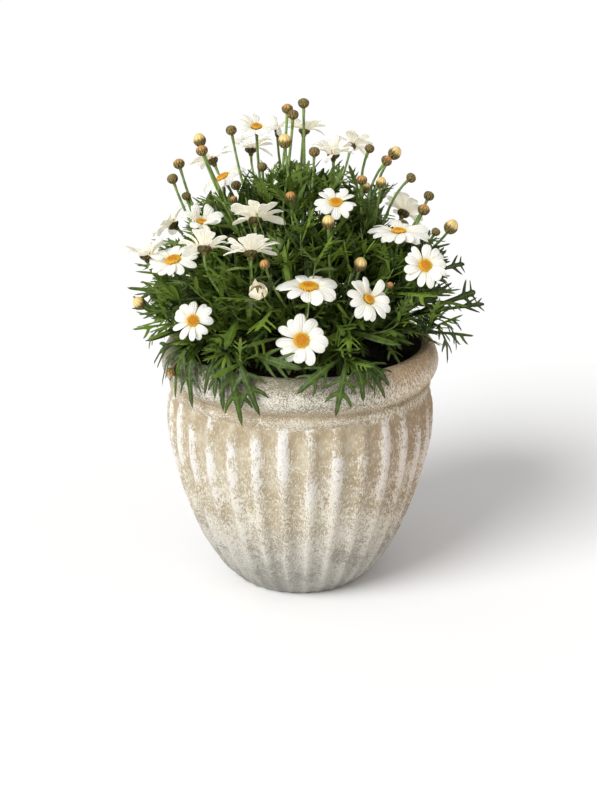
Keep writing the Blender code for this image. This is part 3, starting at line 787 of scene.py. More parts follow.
@dataclass(frozen=True)
class WhitewashedClay:
    """Tan moulded clay under a rubbed whitewash, thickest on the ridges."""

    tan: Colour = shade(187, 177, 153)
    dark_tan: Colour = shade(165, 150, 122)
    cream: Colour = shade(223, 218, 205)
    wash: Colour = shade(220, 218, 216)
    grey: Colour = shade(138, 138, 134)
    # Olive of painted shade and a green reflection from the leaves, on the rim's front
    leaf_shade_olive: Colour = shade(116, 113, 92)
    # Warm tan painted on the right side: warm light on the rim there, and shade on the whitewash below it
    warm: Colour = shade(194, 162, 124)
    # Umber of the dark fibres, also painted as shade on the body's right side
    umber: Colour = shade(150, 124, 98)
    # Dark brown on the inner wall: a wet stain from the soil, and painted shade in the pot's mouth
    damp_and_shade: Colour = shade(62, 50, 38)
    # Noises: their scales, and the strokes of the brush
    fleck_scale: float = 620.0
    clump_scale: float = 248.0
    speck_scale: float = 930.0
    pit_scale: float = 800.0
    blotch_scale: float = 150.0
    cloud_scale: float = 70.0
    patch_scale: float = 26.0
    streaks: Strokes = Strokes((0.0, 0.0, 0.0), (1.0, 1.0, 0.22), 1000.0)
    strands: Strokes = Strokes((0.0, 0.0, 0.0), (0.22, 0.22, 1.0), 400.0, 4.0)
    hatch: Strokes = Strokes((0.5, 0.5, 0.0), (1.0, 1.0, 0.2), 1150.0, 2.0, 0.6)
    net: tuple[Strokes, Strokes] = (Strokes((0.6, 0.7, 0.0), (1.0, 1.0, 0.45), 640.0),
                                    Strokes((-0.9, 0.5, 0.4), (1.0, 1.0, 0.45), 640.0))
    net_gain: float = 1.6
    net_offset: float = -0.36
    # Shares of the second noise in a blend of two
    clumps_in_crumbs: float = 0.4
    clumps_in_specks: float = 0.25
    hatch_in_lines: float = 0.5
    lines_in_body: float = 0.45
    # Ramps by height in metres: from, to, and the values there where they aren't 0 and 1
    body_edge: Ramp = (0.182, 0.176)
    low_wall: Ramp = (0.105, 0.03)
    ridge_height: Ramp = (0.085, 0.150, 0.12, 1.0)
    furrow_height: Ramp = (0.115, 0.165, 0.0, 0.5)
    scallop_height: Ramp = (0.160, 0.168)
    strand_height: Ramp = (0.174, 0.14)
    grey_height: Ramp = (0.10, 0.0, 0.0, 0.6)
    dirt_and_shade_height: Ramp = (0.210, 0.221)
    damp_and_shade_top: Ramp = (0.2250, 0.2205)
    damp_and_shade_foot: Ramp = (0.14, 0.16)
    # Ramps by the distance towards +X, by that from the axis, by the ridge and by the noises
    sunlit: Ramp = (0.03, 0.08)
    damp_and_shade_wall: Ramp = (0.1115, 0.1098, 0.0, 0.85)
    ridge_crest: Ramp = (0.25, 0.9)
    ridge_cover: Ramp = (0.1, 0.7, -0.05, 0.04)
    furrow: Ramp = (0.35, 0.0)
    blotches: Ramp = (0.36, 0.52, 0.4, 1.0)
    worn_patches: Ramp = (0.36, 0.54, 0.3, 1.0)
    cover_patches: Ramp = (0.3, 0.7, -0.2, 0.2)
    clouds: Ramp = (0.35, 0.7)
    dirt_and_shade_clouds: Ramp = (0.3, 0.7, 0.25, 0.6)
    strand_core: Ramp = (0.58, 0.68, 0.0, 0.8)
    coat_edge: Ramp = (0.465, 0.555)
    pale_fibres: Ramp = (0.50, 0.60, 0.0, 0.45)
    dark_fibres: Ramp = (0.47, 0.36, 0.0, 0.50)
    pits: Ramp = (0.46, 0.39, 0.0, 0.55)
    opacity: Ramp = (0.0, 0.6, 0.88, 0.92)
    # Tinges of painted light and shade, each with a ramp by height and one by the distance towards +X
    leaf_shaded_rim: tuple[Ramp, Ramp] = ((0.196, 0.204, 0.0, 0.85), (0.10, 0.04, 0.15, 1.0))
    sunny: tuple[Ramp, Ramp] = ((0.196, 0.204), (0.05, 0.09))
    shaded: tuple[Ramp, Ramp] = ((0.190, 0.170, 0.0, 0.7), (0.03, 0.09))
    right_shade_on_wash: tuple[Ramp, Ramp] = ((0.200, 0.190, 0.0, 0.2), (0.04, 0.09))
    # How strongly a mask acts
    worn_cover: float = 0.50
    bare_cover: float = -0.34
    middle_cover: float = 0.5
    cover_force: float = 0.24
    scallop_depth: float = 0.022
    # Painted shade in the scallops under the bead
    scallop_shade: float = 0.4
    low_grey: float = 0.85
    roughness: Ramp = (0.0, 1.0, 0.9, 0.75)
    grain: Texture = (700.0, 0.0004, 0.45)
    relief: tuple[float, float] = (0.0005, 0.5)
    top: float = 0.2265
    # Share of the wall that the flecks cover, by height in metres
    cover: Profile = ((0.0, 0.48), (0.03, 0.56), (0.08, 0.60), (0.13, 0.52), (0.162, 0.40), (0.178, 0.20),
                      (0.1835, 0.46), (0.187, 0.62), (0.190, 0.42), (0.194, 0.14), (0.199, 0.40),
                      (0.206, 0.72), (0.214, 0.64), (0.220, 0.50), (0.2265, 0.40))

    def make(self, effects: Effects) -> Material:
        """Build the material."""
        material, desk, shader = principled("whitewashed_clay", Specular_IOR_Level=0.2)
        place, ridge = desk.object_place(), desk.mark(STAGE)
        height, right = desk.axis(place, "Z"), desk.axis(place, "X")
        body, low = desk.span(height, *self.body_edge), desk.span(height, *self.low_wall)
        patch = desk.noise(place, self.patch_scale, 3.0)
        cloud = desk.noise(place, self.cloud_scale, 4.0, 0.6)
        crust = self.crust(desk, place, desk.span(right, *self.sunlit), body, low)

        def tinge(ramps: tuple[Ramp, Ramp]) -> Socket:
            """Share of a tinge, from its two ramps."""
            return desk.times(desk.span(height, *ramps[0]), desk.span(right, *ramps[1]))

        blotch = desk.span(desk.noise(place, self.blotch_scale, 2.0), *self.blotches)
        worn = desk.times(desk.span(ridge, *self.ridge_crest), desk.span(height, *self.ridge_height),
                          blotch, desk.span(patch, *self.worn_patches))
        scallop = desk.span(desk.sum(height, desk.times(ridge, -self.scallop_depth)), *self.scallop_height)
        furrow = desk.times(desk.span(ridge, *self.furrow), desk.span(height, *self.furrow_height))
        bare = desk.times(body, desk.sum(furrow, scallop))
        cover = desk.sum(self.cover_at(desk, height), desk.span(patch, *self.cover_patches),
                         desk.times(worn, self.worn_cover), desk.times(bare, self.bare_cover),
                         desk.times(desk.span(ridge, *self.ridge_cover), body), -self.middle_cover)
        level = desk.sum(crust, desk.times(cover, self.cover_force))
        crossing = desk.times(desk.span(self.strands.read(desk, place), *self.strand_core),
                              desk.span(height, *self.strand_height))
        white = desk.join("MAXIMUM", desk.span(level, *self.coat_edge), crossing)
        # Painted shade under the bead: the tan is darker in the scallops
        light = desk.join("SUBTRACT", desk.span(cloud, *self.clouds), desk.times(scallop, self.scallop_shade))
        # Painted warm light on the rim's right side
        sunned = desk.mix(tinge(self.sunny), desk.mix(light, self.dark_tan, self.tan), self.warm)
        # Painted shade on the ground: umber on the body's right side, olive shade with a green reflection of
        # the leaves on the rim's front
        ground = desk.mix(tinge(self.leaf_shaded_rim), desk.mix(tinge(self.shaded), sunned, self.umber), self.leaf_shade_olive)
        pale = desk.mix(desk.span(crust, *self.pale_fibres), ground, self.cream)
        fibred = desk.mix(desk.span(crust, *self.dark_fibres), pale, self.umber)
        greyed = desk.mix(desk.times(low, self.low_grey), fibred, self.grey)
        # Painted shade: the whitewash turns darker and warmer towards +X, on the shaded side
        chalk = desk.mix(tinge(self.right_shade_on_wash), desk.mix(worn, self.cream, self.wash), self.warm)
        washed = desk.mix(desk.span(height, *self.grey_height), chalk, self.grey)
        coated = desk.mix(desk.times(white, desk.span(worn, *self.opacity)), greyed, washed)
        pits = desk.span(desk.noise(place, self.pit_scale, 2.0), *self.pits)
        # Soiling and painted shade at the top of the rim, where the lip curves in: the whitewash gives way to
        # the ground
        dirt_and_shade = desk.times(desk.span(height, *self.dirt_and_shade_height), desk.span(cloud, *self.dirt_and_shade_clouds))
        aged = desk.mix(dirt_and_shade, desk.mix(pits, coated, greyed), ground)
        fine = effects.roughen(desk, place, *self.grain)
        desk.dress(shader, self.damp_and_shaded(desk, place, aged), desk.span(white, *self.roughness),
                   desk.bump(white, *self.relief, fine))
        return material

    def crust(self, desk: NodeDesk, place: Socket, sunlit: Socket, body: Socket, low: Socket) -> Socket:
        """Texture of the coat: specks or a net on the rim, crumbs and strokes below it.

        Args:
            desk: Desk of the material.
            place: Place on the pot.
            sunlit: Share of the net on the rim.
            body: Share of the body's texture, in place of the rim's.
            low: Share of hatched strokes, in place of upright streaks.

        Returns:
            The texture as a height from 0 to 1.
        """
        flecks = desk.noise(place, self.fleck_scale, 4.0, 0.7)
        clumps = desk.noise(place, self.clump_scale, 3.0, 0.65)
        specks = desk.noise(place, self.speck_scale, 3.0, 0.65)
        crossing = desk.join("MAXIMUM", *(strokes.read(desk, place) for strokes in self.net))
        net = desk.sum(desk.times(crossing, self.net_gain), self.net_offset)
        rim = desk.blend(sunlit, desk.blend(self.clumps_in_specks, specks, clumps), net)
        streaks = self.streaks.read(desk, place)
        hatched = desk.blend(self.hatch_in_lines, streaks, self.hatch.read(desk, place))
        crumbs = desk.blend(self.clumps_in_crumbs, flecks, clumps)
        below = desk.blend(low, streaks, hatched)
        return desk.blend(body, rim, desk.blend(self.lines_in_body, crumbs, below))

    def cover_at(self, desk: NodeDesk, height: Socket) -> Socket:
        """Share that the flecks cover at a height, from the table."""
        ramp = desk.add("ShaderNodeValToRGB", {"Fac": desk.times(height, 1 / self.top)})
        stops = ramp.color_ramp.elements
        stops.remove(stops[1])
        stops[0].position, stops[0].color = 0.0, (*[self.cover[0][1]] * 3, 1.0)
        for at, share in self.cover[1:]:
            stops.new(at / self.top).color = (share, share, share, 1.0)
        return ramp.outputs["Color"]

    def damp_and_shaded(self, desk: NodeDesk, place: Socket, colour: Socket) -> Socket:
        """Colour darkened on the inner wall by a wet stain from the soil and by painted shade in the pot's
        mouth.
        """
        flat = desk.add("ShaderNodeVectorMath", {0: place, 1: (1.0, 1.0, 0.0)}, operation="MULTIPLY")
        out = desk.add("ShaderNodeVectorMath", {0: flat.outputs[0]}, operation="LENGTH").outputs["Value"]
        height = desk.axis(place, "Z")
        wall = desk.times(desk.span(out, *self.damp_and_shade_wall), desk.span(height, *self.damp_and_shade_top),
                          desk.span(height, *self.damp_and_shade_foot))
        return desk.mix(wall, colour, self.damp_and_shade)


@dataclass(frozen=True)
class PottingSoil:
    """Moist dark peat with paler fibres."""

    peat: Colour = shade(28, 22, 17)
    fibre: Colour = shade(74, 58, 42)
    spot_share: float = 0.6
    tint_share: float = 0.35
    spots: Texture = (260.0, 0.5, 0.75)
    grain: Texture = (600.0, 0.0012, 0.8)
    roughness: Ramp = (0.0, 1.0, 0.95, 0.7)

    def make(self, effects: Effects) -> Material:
        """Build the material."""
        material, desk, shader = principled("potting_soil", Specular_IOR_Level=0.3)
        place = desk.object_place()
        mask = effects.spots(desk, place, *self.spots)
        pale = desk.sum(desk.times(mask, self.spot_share), desk.times(desk.mark(TINT), self.tint_share))
        desk.dress(shader, desk.mix(pale, self.peat, self.fibre), desk.span(mask, *self.roughness),
                   effects.roughen(desk, place, *self.grain))
        return material


@dataclass(frozen=True)
class LeafGreen:
    """Dark matt leaf with a paler rib, each leaf a little different."""

    deep: Colour = shade(24, 42, 15)
    fresh: Colour = shade(116, 142, 46)
    rib: Colour = shade(110, 134, 62)
    tip: Colour = shade(56, 62, 38)
    tint_share: float = 0.75
    spot_share: float = 0.22
    rib_width: Ramp = (0.34, 0.0, 0.0, 0.4)
    tip_length: Ramp = (0.86, 1.0, 0.0, 0.5)
    spots: Texture = (240.0, 0.35, 0.7)
    grain: Texture = (900.0, 0.0003, 0.4)
    roughness: Ramp = (0.0, 1.0, 0.56, 0.38)

    def make(self, effects: Effects) -> Material:
        """Build the material."""
        material, desk, shader = principled("leaf_green", Specular_IOR_Level=0.28)
        place, spread = desk.object_place(), desk.spread()
        spots = effects.spots(desk, place, *self.spots)
        share = desk.sum(desk.times(desk.mark(TINT), self.tint_share), desk.times(spots, self.spot_share))
        blade = desk.mix(share, self.deep, self.fresh)
        ribbed = desk.mix(desk.span(desk.axis(spread, "X"), *self.rib_width), blade, self.rib)
        tipped = desk.mix(desk.span(desk.axis(spread, "Y"), *self.tip_length), ribbed, self.tip)
        desk.dress(shader, tipped, desk.span(spots, *self.roughness),
                   effects.roughen(desk, place, *self.grain))
        return material


@dataclass(frozen=True)
class StalkGreen:
    """Ribbed stalk, pale green above and woody brown at the soil."""

    green: Colour = shade(136, 160, 84)
    shadow: Colour = shade(78, 100, 46)
    wood: Colour = shade(92, 76, 48)
    shadow_share: float = 0.8
    woody_height: Ramp = (0.262, 0.225)
    spots: Texture = (150.0, 0.35, 0.65)
    ribs: Strokes = Strokes((0.0, 0.0, 0.0), (1.0, 1.0, 0.08), 1500.0, 2.0, 0.55)
    roughness: Ramp = (0.0, 1.0, 0.5, 0.65)
    relief: tuple[float, float] = (0.0004, 0.6)

    def make(self, effects: Effects) -> Material:
        """Build the material."""
        material, desk, shader = principled("stalk_green", Specular_IOR_Level=0.35)
        place = desk.object_place()
        spots = effects.spots(desk, place, *self.spots)
        green = desk.mix(desk.times(spots, self.shadow_share), self.green, self.shadow)
        woody = desk.span(desk.axis(place, "Z"), *self.woody_height)
        desk.dress(shader, desk.mix(woody, green, self.wood), desk.span(spots, *self.roughness),
                   desk.bump(self.ribs.read(desk, place), *self.relief))
        return material


@dataclass(frozen=True)
class PetalWhite:
    """Soft white ray petal, furrowed lengthwise, warm near its root, with a painted glow."""

    white: Colour = shade(240, 237, 226)
    cream: Colour = shade(232, 222, 186)
    blush: Colour = shade(232, 221, 196)
    # Glow of painted light, though the petals are no lamp: strongest on their undersides and in the furrows
    glow: Colour = shade(255, 250, 230)
    furrows: float = 4.0
    vein_share: float = 0.1
    warm_root: Ramp = (0.42, 0.05, 0.0, 0.85)
    under_root: Ramp = (0.7, 0.1, 0.15, 0.7)
    under_glow: Ramp = (0.0, 1.0, 0.25, 1.0)
    furrow_glow: Ramp = (0.0, 1.0, 0.8, 1.0)
    spots: Texture = (400.0, 0.3, 0.7)
    roughness: Ramp = (0.0, 1.0, 0.5, 0.68)
    relief: tuple[float, float] = (0.0005, 0.5)

    def make(self, effects: Effects) -> Material:
        """Build the material."""
        material, desk, shader = principled("petal_white", Specular_IOR_Level=0.3, Subsurface_Weight=0.7,
                                            Subsurface_Scale=0.002, Subsurface_Radius=(1.0, 0.95, 0.85),
                                            Emission_Strength=0.3)
        spread, under = desk.spread(), desk.mark(STAGE)
        along = desk.axis(spread, "Y")
        furrows = effects.furrow(desk, spread, self.furrows)
        warm = desk.mix(desk.span(along, *self.warm_root), self.white, self.cream)
        faced = desk.mix(desk.times(under, desk.span(along, *self.under_root)), warm, self.blush)
        veined = desk.mix(desk.times(furrows, self.vein_share), faced, self.cream)
        # Painted light: the petals glow, strongest on their undersides and in the furrows
        through = desk.times(desk.span(under, *self.under_glow), desk.span(furrows, *self.furrow_glow))
        desk.feed(shader.inputs["Emission Color"], desk.mix(through, BLACK, self.glow))
        spots = effects.spots(desk, desk.object_place(), *self.spots)
        desk.dress(shader, veined, desk.span(spots, *self.roughness), desk.bump(furrows, *self.relief))
        return material


@dataclass(frozen=True)
class FloretYellow:
    """Golden florets with an orange ring and a browner middle."""

    gold: Colour = shade(236, 192, 62)
    orange: Colour = shade(222, 148, 26)
    middle: Colour = shade(214, 166, 50)
    gap: Colour = shade(176, 106, 18)
    tint_share: float = 0.35
    orange_ring: Ramp = (0.1, 0.4)
    gold_ring: Ramp = (0.45, 0.75)
    gap_tint: Ramp = (1.0, 1.5)
    spots: Texture = (900.0, 0.3, 0.7)
    grain: Texture = (2600.0, 0.0002, 0.5)
    roughness: Ramp = (0.0, 1.0, 0.6, 0.8)

    def make(self, effects: Effects) -> Material:
        """Build the material."""
        material, desk, shader = principled("floret_yellow", Specular_IOR_Level=0.3)
        place, out, tint = desk.object_place(), desk.mark(STAGE), desk.mark(TINT)
        inner = desk.mix(desk.span(out, *self.orange_ring), self.middle, self.orange)
        ringed = desk.mix(desk.span(out, *self.gold_ring), inner, self.gold)
        varied = desk.mix(desk.times(tint, self.tint_share), ringed, self.gold)
        toned = desk.mix(desk.span(tint, *self.gap_tint), varied, self.gap)
        spots = effects.spots(desk, place, *self.spots)
        desk.dress(shader, toned, desk.span(spots, *self.roughness),
                   effects.roughen(desk, place, *self.grain))
        return material


@dataclass(frozen=True)
class BractGreen:
    """Scales of cups and buds: dark olive down the middle with a tan papery edge."""

    olive: Colour = shade(48, 46, 20)
    green: Colour = shade(88, 84, 38)
    paper: Colour = shade(168, 140, 84)
    brown: Colour = shade(72, 48, 24)
    bud_breadth: float = 0.16
    paper_edge: Ramp = (0.62, 1.0)
    paper_share: Ramp = (0.0, 0.3, 0.6, 0.95)
    brown_stage: Ramp = (0.0, 0.2)
    tip_length: Ramp = (0.62, 0.95, 0.0, 0.75)
    spots: Texture = (700.0, 0.3, 0.7)
    grain: Texture = (1500.0, 0.0003, 0.5)
    roughness: Ramp = (0.0, 1.0, 0.5, 0.75)

    def make(self, effects: Effects) -> Material:
        """Build the material."""
        material, desk, shader = principled("bract_green", Specular_IOR_Level=0.35)
        place, spread, stage = desk.object_place(), desk.spread(), desk.mark(STAGE)
        body = desk.mix(desk.mark(TINT), self.olive, self.green)
        edge = desk.sum(desk.axis(spread, "X"), desk.times(stage, self.bud_breadth))
        paper = desk.times(desk.span(edge, *self.paper_edge), desk.span(stage, *self.paper_share))
        ends = desk.mix(desk.span(stage, *self.brown_stage), self.paper, self.brown)
        tipped = desk.mix(desk.span(desk.axis(spread, "Y"), *self.tip_length),
                          desk.mix(paper, body, self.paper), ends)
        spots = effects.spots(desk, place, *self.spots)
        desk.dress(shader, tipped, desk.span(spots, *self.roughness),
                   effects.roughen(desk, place, *self.grain))
        return material


@dataclass(frozen=True)
class FoldedPetal:
    """Petals still folded in a bud: green, then tan, then pale yellow as the bud ripens."""

    shut: Colour = shade(126, 118, 68)
    tan: Colour = shade(198, 148, 84)
    ripe: Colour = shade(238, 212, 140)
    base: Colour = shade(56, 54, 24)
    open: Colour = shade(252, 246, 224)
    seam: Colour = shade(138, 92, 44)
    blush: Colour = shade(232, 176, 150)
    furrows: float = 9.0
    # Ramps by the stage of the bud, then by the height on it and by the furrows
    tan_stage: Ramp = (0.0, 0.5)
    ripe_stage: Ramp = (0.5, 1.0)
    open_stage: Ramp = (1.0, 1.4)
    blush_stage: Ramp = (1.0, 1.3)
    foot_stage: Ramp = (1.3, 1.0, 0.0, 0.85)
    stain_stage: Ramp = (1.0, 1.3, 0.3, 0.0)
    glow_stage: Ramp = (1.1, 1.4)
    foot_height: Ramp = (0.74, 0.42)
    seam_depth: Ramp = (0.35, 0.0, 0.0, 0.45)
    spots: Texture = (330.0, 0.45, 0.75)
    roughness: Ramp = (0.0, 1.0, 0.5, 0.7)
    relief: tuple[float, float] = (0.0004, 0.5)

    def make(self, effects: Effects) -> Material:
        """Build the material."""
        material, desk, shader = principled("folded_petal", Specular_IOR_Level=0.3, Emission_Strength=0.3)
        spread, stage = desk.spread(), desk.mark(STAGE)
        grown = self.shut
        for ramp, colour in ((self.tan_stage, self.tan), (self.ripe_stage, self.ripe),
                             (self.open_stage, self.open)):
            grown = desk.mix(desk.span(stage, *ramp), grown, colour)
        furrows = effects.furrow(desk, spread, self.furrows)
        edges = desk.mix(desk.span(stage, *self.blush_stage), self.seam, self.blush)
        foot = desk.times(desk.span(desk.axis(spread, "Y"), *self.foot_height),
                          desk.span(stage, *self.foot_stage))
        seamed = desk.mix(desk.span(furrows, *self.seam_depth), desk.mix(foot, grown, self.base), edges)
        spots = effects.spots(desk, desk.object_place(), *self.spots)
        stains = desk.times(spots, desk.span(stage, *self.stain_stage))
        # Painted light: opening buds glow in their pale colour, though they are no lamp
        desk.feed(shader.inputs["Emission Color"],
                  desk.mix(desk.span(stage, *self.glow_stage), BLACK, self.open))
        desk.dress(shader, desk.mix(stains, seamed, self.tan), desk.span(spots, *self.roughness),
                   desk.bump(furrows, *self.relief))
        return material


@dataclass(frozen=True)
class PaleFloor:
    """White studio floor."""

    white: Colour = (0.93, 0.93, 0.93)

    def make(self) -> Material:
        """Build the material."""
        return principled("pale_floor", Base_Color=(*self.white, 1.0), Roughness=0.9,
                          Specular_IOR_Level=0.0)[0]


@dataclass
class Planter:
    """Fluted pot: a spun profile with ridges raised by a formula."""

    finish: Material
    mouth: Profile = ((0.1085, 0.2205), (0.1095, 0.2245), (0.1130, 0.2262), (0.1170, 0.2252))
    rim: Profile = ((0.1218, 0.2195), (0.1248, 0.2085), (0.1222, 0.1995), (0.1172, 0.1940))
    bead: Profile = ((0.1160, 0.1922), (0.1180, 0.1900), (0.1184, 0.1872), (0.1172, 0.1838), (0.1166, 0.1815))
    body: Profile = ((0.1176, 0.1770), (0.1192, 0.1660), (0.1194, 0.1480), (0.1175, 0.1300), (0.1080, 0.0900),
                     (0.0930, 0.0480), (0.0770, 0.0180), (0.0665, 0.0058), (0.0620, 0.0014), (0.0578, 0.0))
    inside: Profile = ((0.0640, 0.0140), (0.0920, 0.0750), (0.1050, 0.1500), (0.1080, 0.2120))
    outer_pieces: int = 5
    inner_pieces: int = 3
    steps: int = 384
    flutes: int = 32
    depth: float = 2.0 * MM
    sharpness: float = 1.5
    turn: float = math.radians(4.2)
    # Heights where the flutes start, are deep, are still deep and end, and their depth at the start
    fade: tuple[float, float, float, float] = (0.0, 0.040, 0.1735, 0.1825)
    foot_share: float = 0.25
    wall_margin: float = 3 * MM
    lumps: Profile = ((55.0, 1.0), (170.0, 0.5))
    lump_height: float = 0.22 * MM
    even_foot: float = 4 * MM
    wear_fade: float = 2.5 * MM

    def flute_share(self, height: np.ndarray) -> np.ndarray:
        """Depth of the flutes at some heights, as a share of the full depth.

        Args:
            height: Heights in metres.

        Returns:
            A share for each.
        """
        foot, full_from, full_to, top = self.fade
        lower = self.foot_share + (1 - self.foot_share) * np.clip((height - foot) / (full_from - foot), 0, 1)
        upper = np.clip((top - height) / (top - full_to), 0, 1)
        return lower * upper * upper * (3 - 2 * upper)

    def build(self) -> None:
        """Make the pot and present it."""
        outer = smooth_line(self.mouth + self.rim + self.bead + self.body, self.outer_pieces)
        floor = (0.0, self.inside[0][1])
        outline = [floor, *smooth_line(self.inside, self.inner_pieces), *outer, (0.0, 0.0)]
        mould = Mould.cast_from(spun(outline, self.steps))
        points = mould.points
        height = points[:, 2]
        radius = np.hypot(points[:, 0], points[:, 1])
        angle = np.arctan2(points[:, 1], points[:, 0]) - self.turn
        ridge = ((np.cos(self.flutes * angle) + 1) / 2) ** self.sharpness
        wall, levels = zip(*reversed(self.body))
        outside = np.interp(height, levels, wall) - self.wall_margin < radius
        swell = self.depth * self.flute_share(height) * outside * (2 * ridge - 1)
        rough = np.array([lumpy(Vector(point), self.lumps) for point in points])
        swell += self.lump_height * rough * (height > self.even_foot)
        points[:, :2] *= (1 + swell / np.maximum(radius, MM))[:, None]
        casting = Casting()
        casting.pour(mould, points, 0.0)
        casting.stage = [ridge * outside * np.clip((self.bead[-2][1] - height) / self.wear_fade, 0, 1)]
        present(casting.piece("planter", self.finish, 60.0), Slot.POT_CLAY, "pot")


@dataclass
class SoilBed:
    """Peat that fills the pot, rough on top, with loose crumbs."""

    finish: Material
    surface: Profile = ((0.0, 0.2045), (0.055, 0.2030), (0.098, 0.1995), (0.1066, 0.1975))
    side: Profile = ((0.1043, 0.150), (0.0912, 0.0753), (0.0, 0.0143))
    pieces: int = 14
    steps: int = 120
    tint: float = 0.2
    roughness: float = 2.2 * MM
    lumps: Profile = ((60.0, 1.0), (160.0, 0.6))
    rough_radius: float = 0.104
    crumbs: int = 1300
    crumb_radius: float = 0.102
    crumb_size: tuple[float, float] = (0.5 * MM, 2.4 * MM)
    crumb_shape: tuple[float, float] = (0.55, 1.25)
    crumb_flatness: float = 0.7
    seed: int = 7

    def lift(self, point: Sequence[float]) -> float:
        """Rise of the rough surface at a place."""
        return self.roughness * lumpy(Vector((point[0], point[1], 0.0)), self.lumps)

    def build(self) -> None:
        """Make the bed with its crumbs and present it."""
        top = smooth_line(self.surface, self.pieces)
        radii, levels = zip(*top)
        mould = Mould.cast_from(spun(top + list(self.side), self.steps))
        for point in mould.points:
            if point[2] > self.surface[-1][1] and math.hypot(point[0], point[1]) < self.rough_radius:
                point[2] += self.lift(point)
        casting = Casting()
        casting.pour(mould, mould.points, self.tint)
        ball = Bench(bpy.ops.mesh.primitive_ico_sphere_add, subdivisions=1, radius=1.0)
        crumb = Mould.cast_from(ball.done())
        draw = np.random.default_rng(self.seed)
        smallest, largest = self.crumb_size
        for _ in range(self.crumbs):
            radius = self.crumb_radius * math.sqrt(draw.random())
            angle = draw.random() * 2 * math.pi
            place = np.array([radius * math.cos(angle), radius * math.sin(angle), 0.0])
            place[2] = np.interp(radius, radii, levels) + self.lift(place)
            size = smallest + (largest - smallest) * draw.random() ** 3
            shape = crumb.points * draw.uniform(*self.crumb_shape, (len(crumb.points), 1)) * size
            shape[:, 2] *= self.crumb_flatness
            casting.pour(crumb, shape + place, draw.random())
        present(casting.piece("soil_bed", self.finish, 30.0), Slot.SOIL, "soil")


@dataclass
class PetalRing:
    """Ring of white ray petals, each a thin furrowed blade."""

    finish: Material
    across: int = 6
    along: int = 12
    thickness: float = 0.45 * MM
    root: float = 0.84
    width: float = 0.41
    seed: int = 11
    mould: Mould = None

    def __post_init__(self) -> None:
        """Model one petal, one metre long and two wide, lying along +Y."""
        bench = Bench(bpy.ops.mesh.primitive_grid_add, x_subdivisions=self.across, y_subdivisions=self.along,
                      size=1.0, location=(0, 0, 0))
        bpy.ops.transform.translate(value=(0, 0.5, 0))
        shape = bmesh.from_edit_mesh(bench.obj.data)
        for vertex in shape.verts:
            side, share = vertex.co.x * 2, 1 - max(0.0, 1 - vertex.co.y) ** 1.5
            vertex.co.x = side * self.half_width(share)
            vertex.co.y = share * (1 - 0.03 * side ** 2) - 0.026 * share ** 8 * math.cos(3 * math.pi * side)
        bmesh.update_edit_mesh(bench.obj.data)
        bench.modify("SOLIDIFY", thickness=0.012, offset=0.0)
        bench.face_out()
        self.mould = Mould.cast_from(bench.done(), self.spread_of)

    @staticmethod
    def half_width(share: float) -> float:
        """Half a petal's width along it, as a share of its widest."""
        share = min(1.0, max(0.0, share))
        base = 0.36 + 0.64 * math.sin(min(share / 0.66, 1.0) * math.pi / 2) ** 1.2
        end = math.sqrt(max(0.0, 1 - max(0.0, (share - 0.64) / 0.372) ** 2.3))
        return base * max(end, 0.22)

    def spread_of(self, points: np.ndarray) -> np.ndarray:
        """Map of a petal: across it, then along it."""
        widths = np.array([self.half_width(y) for y in points[:, 1]])
        return np.stack([np.clip(points[:, 0] / widths / 2 + 0.5, 0, 1), np.clip(points[:, 1], 0, 1)], 1)

    def lay(self, bloom: Bloom, draw: np.random.Generator, index: int) -> np.ndarray:
        """Points of one petal of a bloom, in metres.

        Args:
            bloom: The bloom that the petal is part of.
            draw: Source of small differences.
            index: Number of the petal round the ring.

        Returns:
            The petal's points, placed.
        """
        start = self.root * bloom.hub
        reach = bloom.radius * MM - start
        reach *= 1 - 0.2 * draw.random() ** 1.5
        side = self.mould.points[:, 0]
        share = self.mould.points[:, 1]
        over = self.mould.points[:, 2] * (self.thickness / 0.012)
        widest = self.width * bloom.radius * MM * draw.uniform(0.74, 1.1) * math.sqrt(13 / bloom.petals) / 2
        open_bloom = bloom.is_open
        droop = 0.0 if open_bloom or index % 6 != 2 else bloom.rise + 12
        rise = math.radians(bloom.rise - droop + draw.normal(0, 6.0 if open_bloom else 9.0))
        curl = draw.normal(0.12 if open_bloom else 0.2, 0.07)
        out = start + reach * share * math.cos(rise)
        height = reach * math.sin(rise) * share * (1.15 - 0.3 * share)
        height += reach * (0.10 * np.sin(math.pi * share) - curl * np.clip(share - 0.55, 0, 1) ** 2 * 1.6)
        height += 1.1 * MM * math.sin(2.4 * index * 10 / bloom.petals + bloom.place[0]) * share
        height += 0.9 * MM * (index * GOLDEN_SHARE % 1.0) * np.clip(share * 3, 0, 1)
        roll = draw.normal(0.08, 0.2)
        furrow = 0.045 * np.cos(2 * math.pi * side * 1.5) * np.sin(math.pi * np.clip(share, 0, 1)) ** 0.5
        lift = widest * (furrow - 0.16 * side ** 2 * np.sin(math.pi * np.clip(share, 0, 1)) + roll * side)
        bend = draw.normal(0.0, 0.05) * reach * share ** 2
        turn = 2 * math.pi * (index + draw.normal(0, 0.2)) / bloom.petals
        local = np.stack([out, side * widest + bend, height + lift + over + 0.35 * MM], 1)
        flat = np.array([[math.cos(turn), -math.sin(turn), 0], [math.sin(turn), math.cos(turn), 0],
                         [0, 0, 1]])
        return (local @ flat.T) @ turned_to(bloom.facing).T + np.array(bloom.centre)

    def build(self, name: str, bloom: Bloom) -> None:
        """Make the ring of one bloom and present it."""
        draw = np.random.default_rng(self.seed + int(name[-2:]))
        casting = Casting()
        under = np.array(self.mould.points[:, 2] < 0, float)
        for index in range(bloom.petals):
            casting.pour(self.mould, self.lay(bloom, draw, index), draw.random())
            casting.stage[-1] = under
        present(casting.piece(f"{name}_ring", self.finish, 70.0), Slot.PETAL, f"{name}_petals")


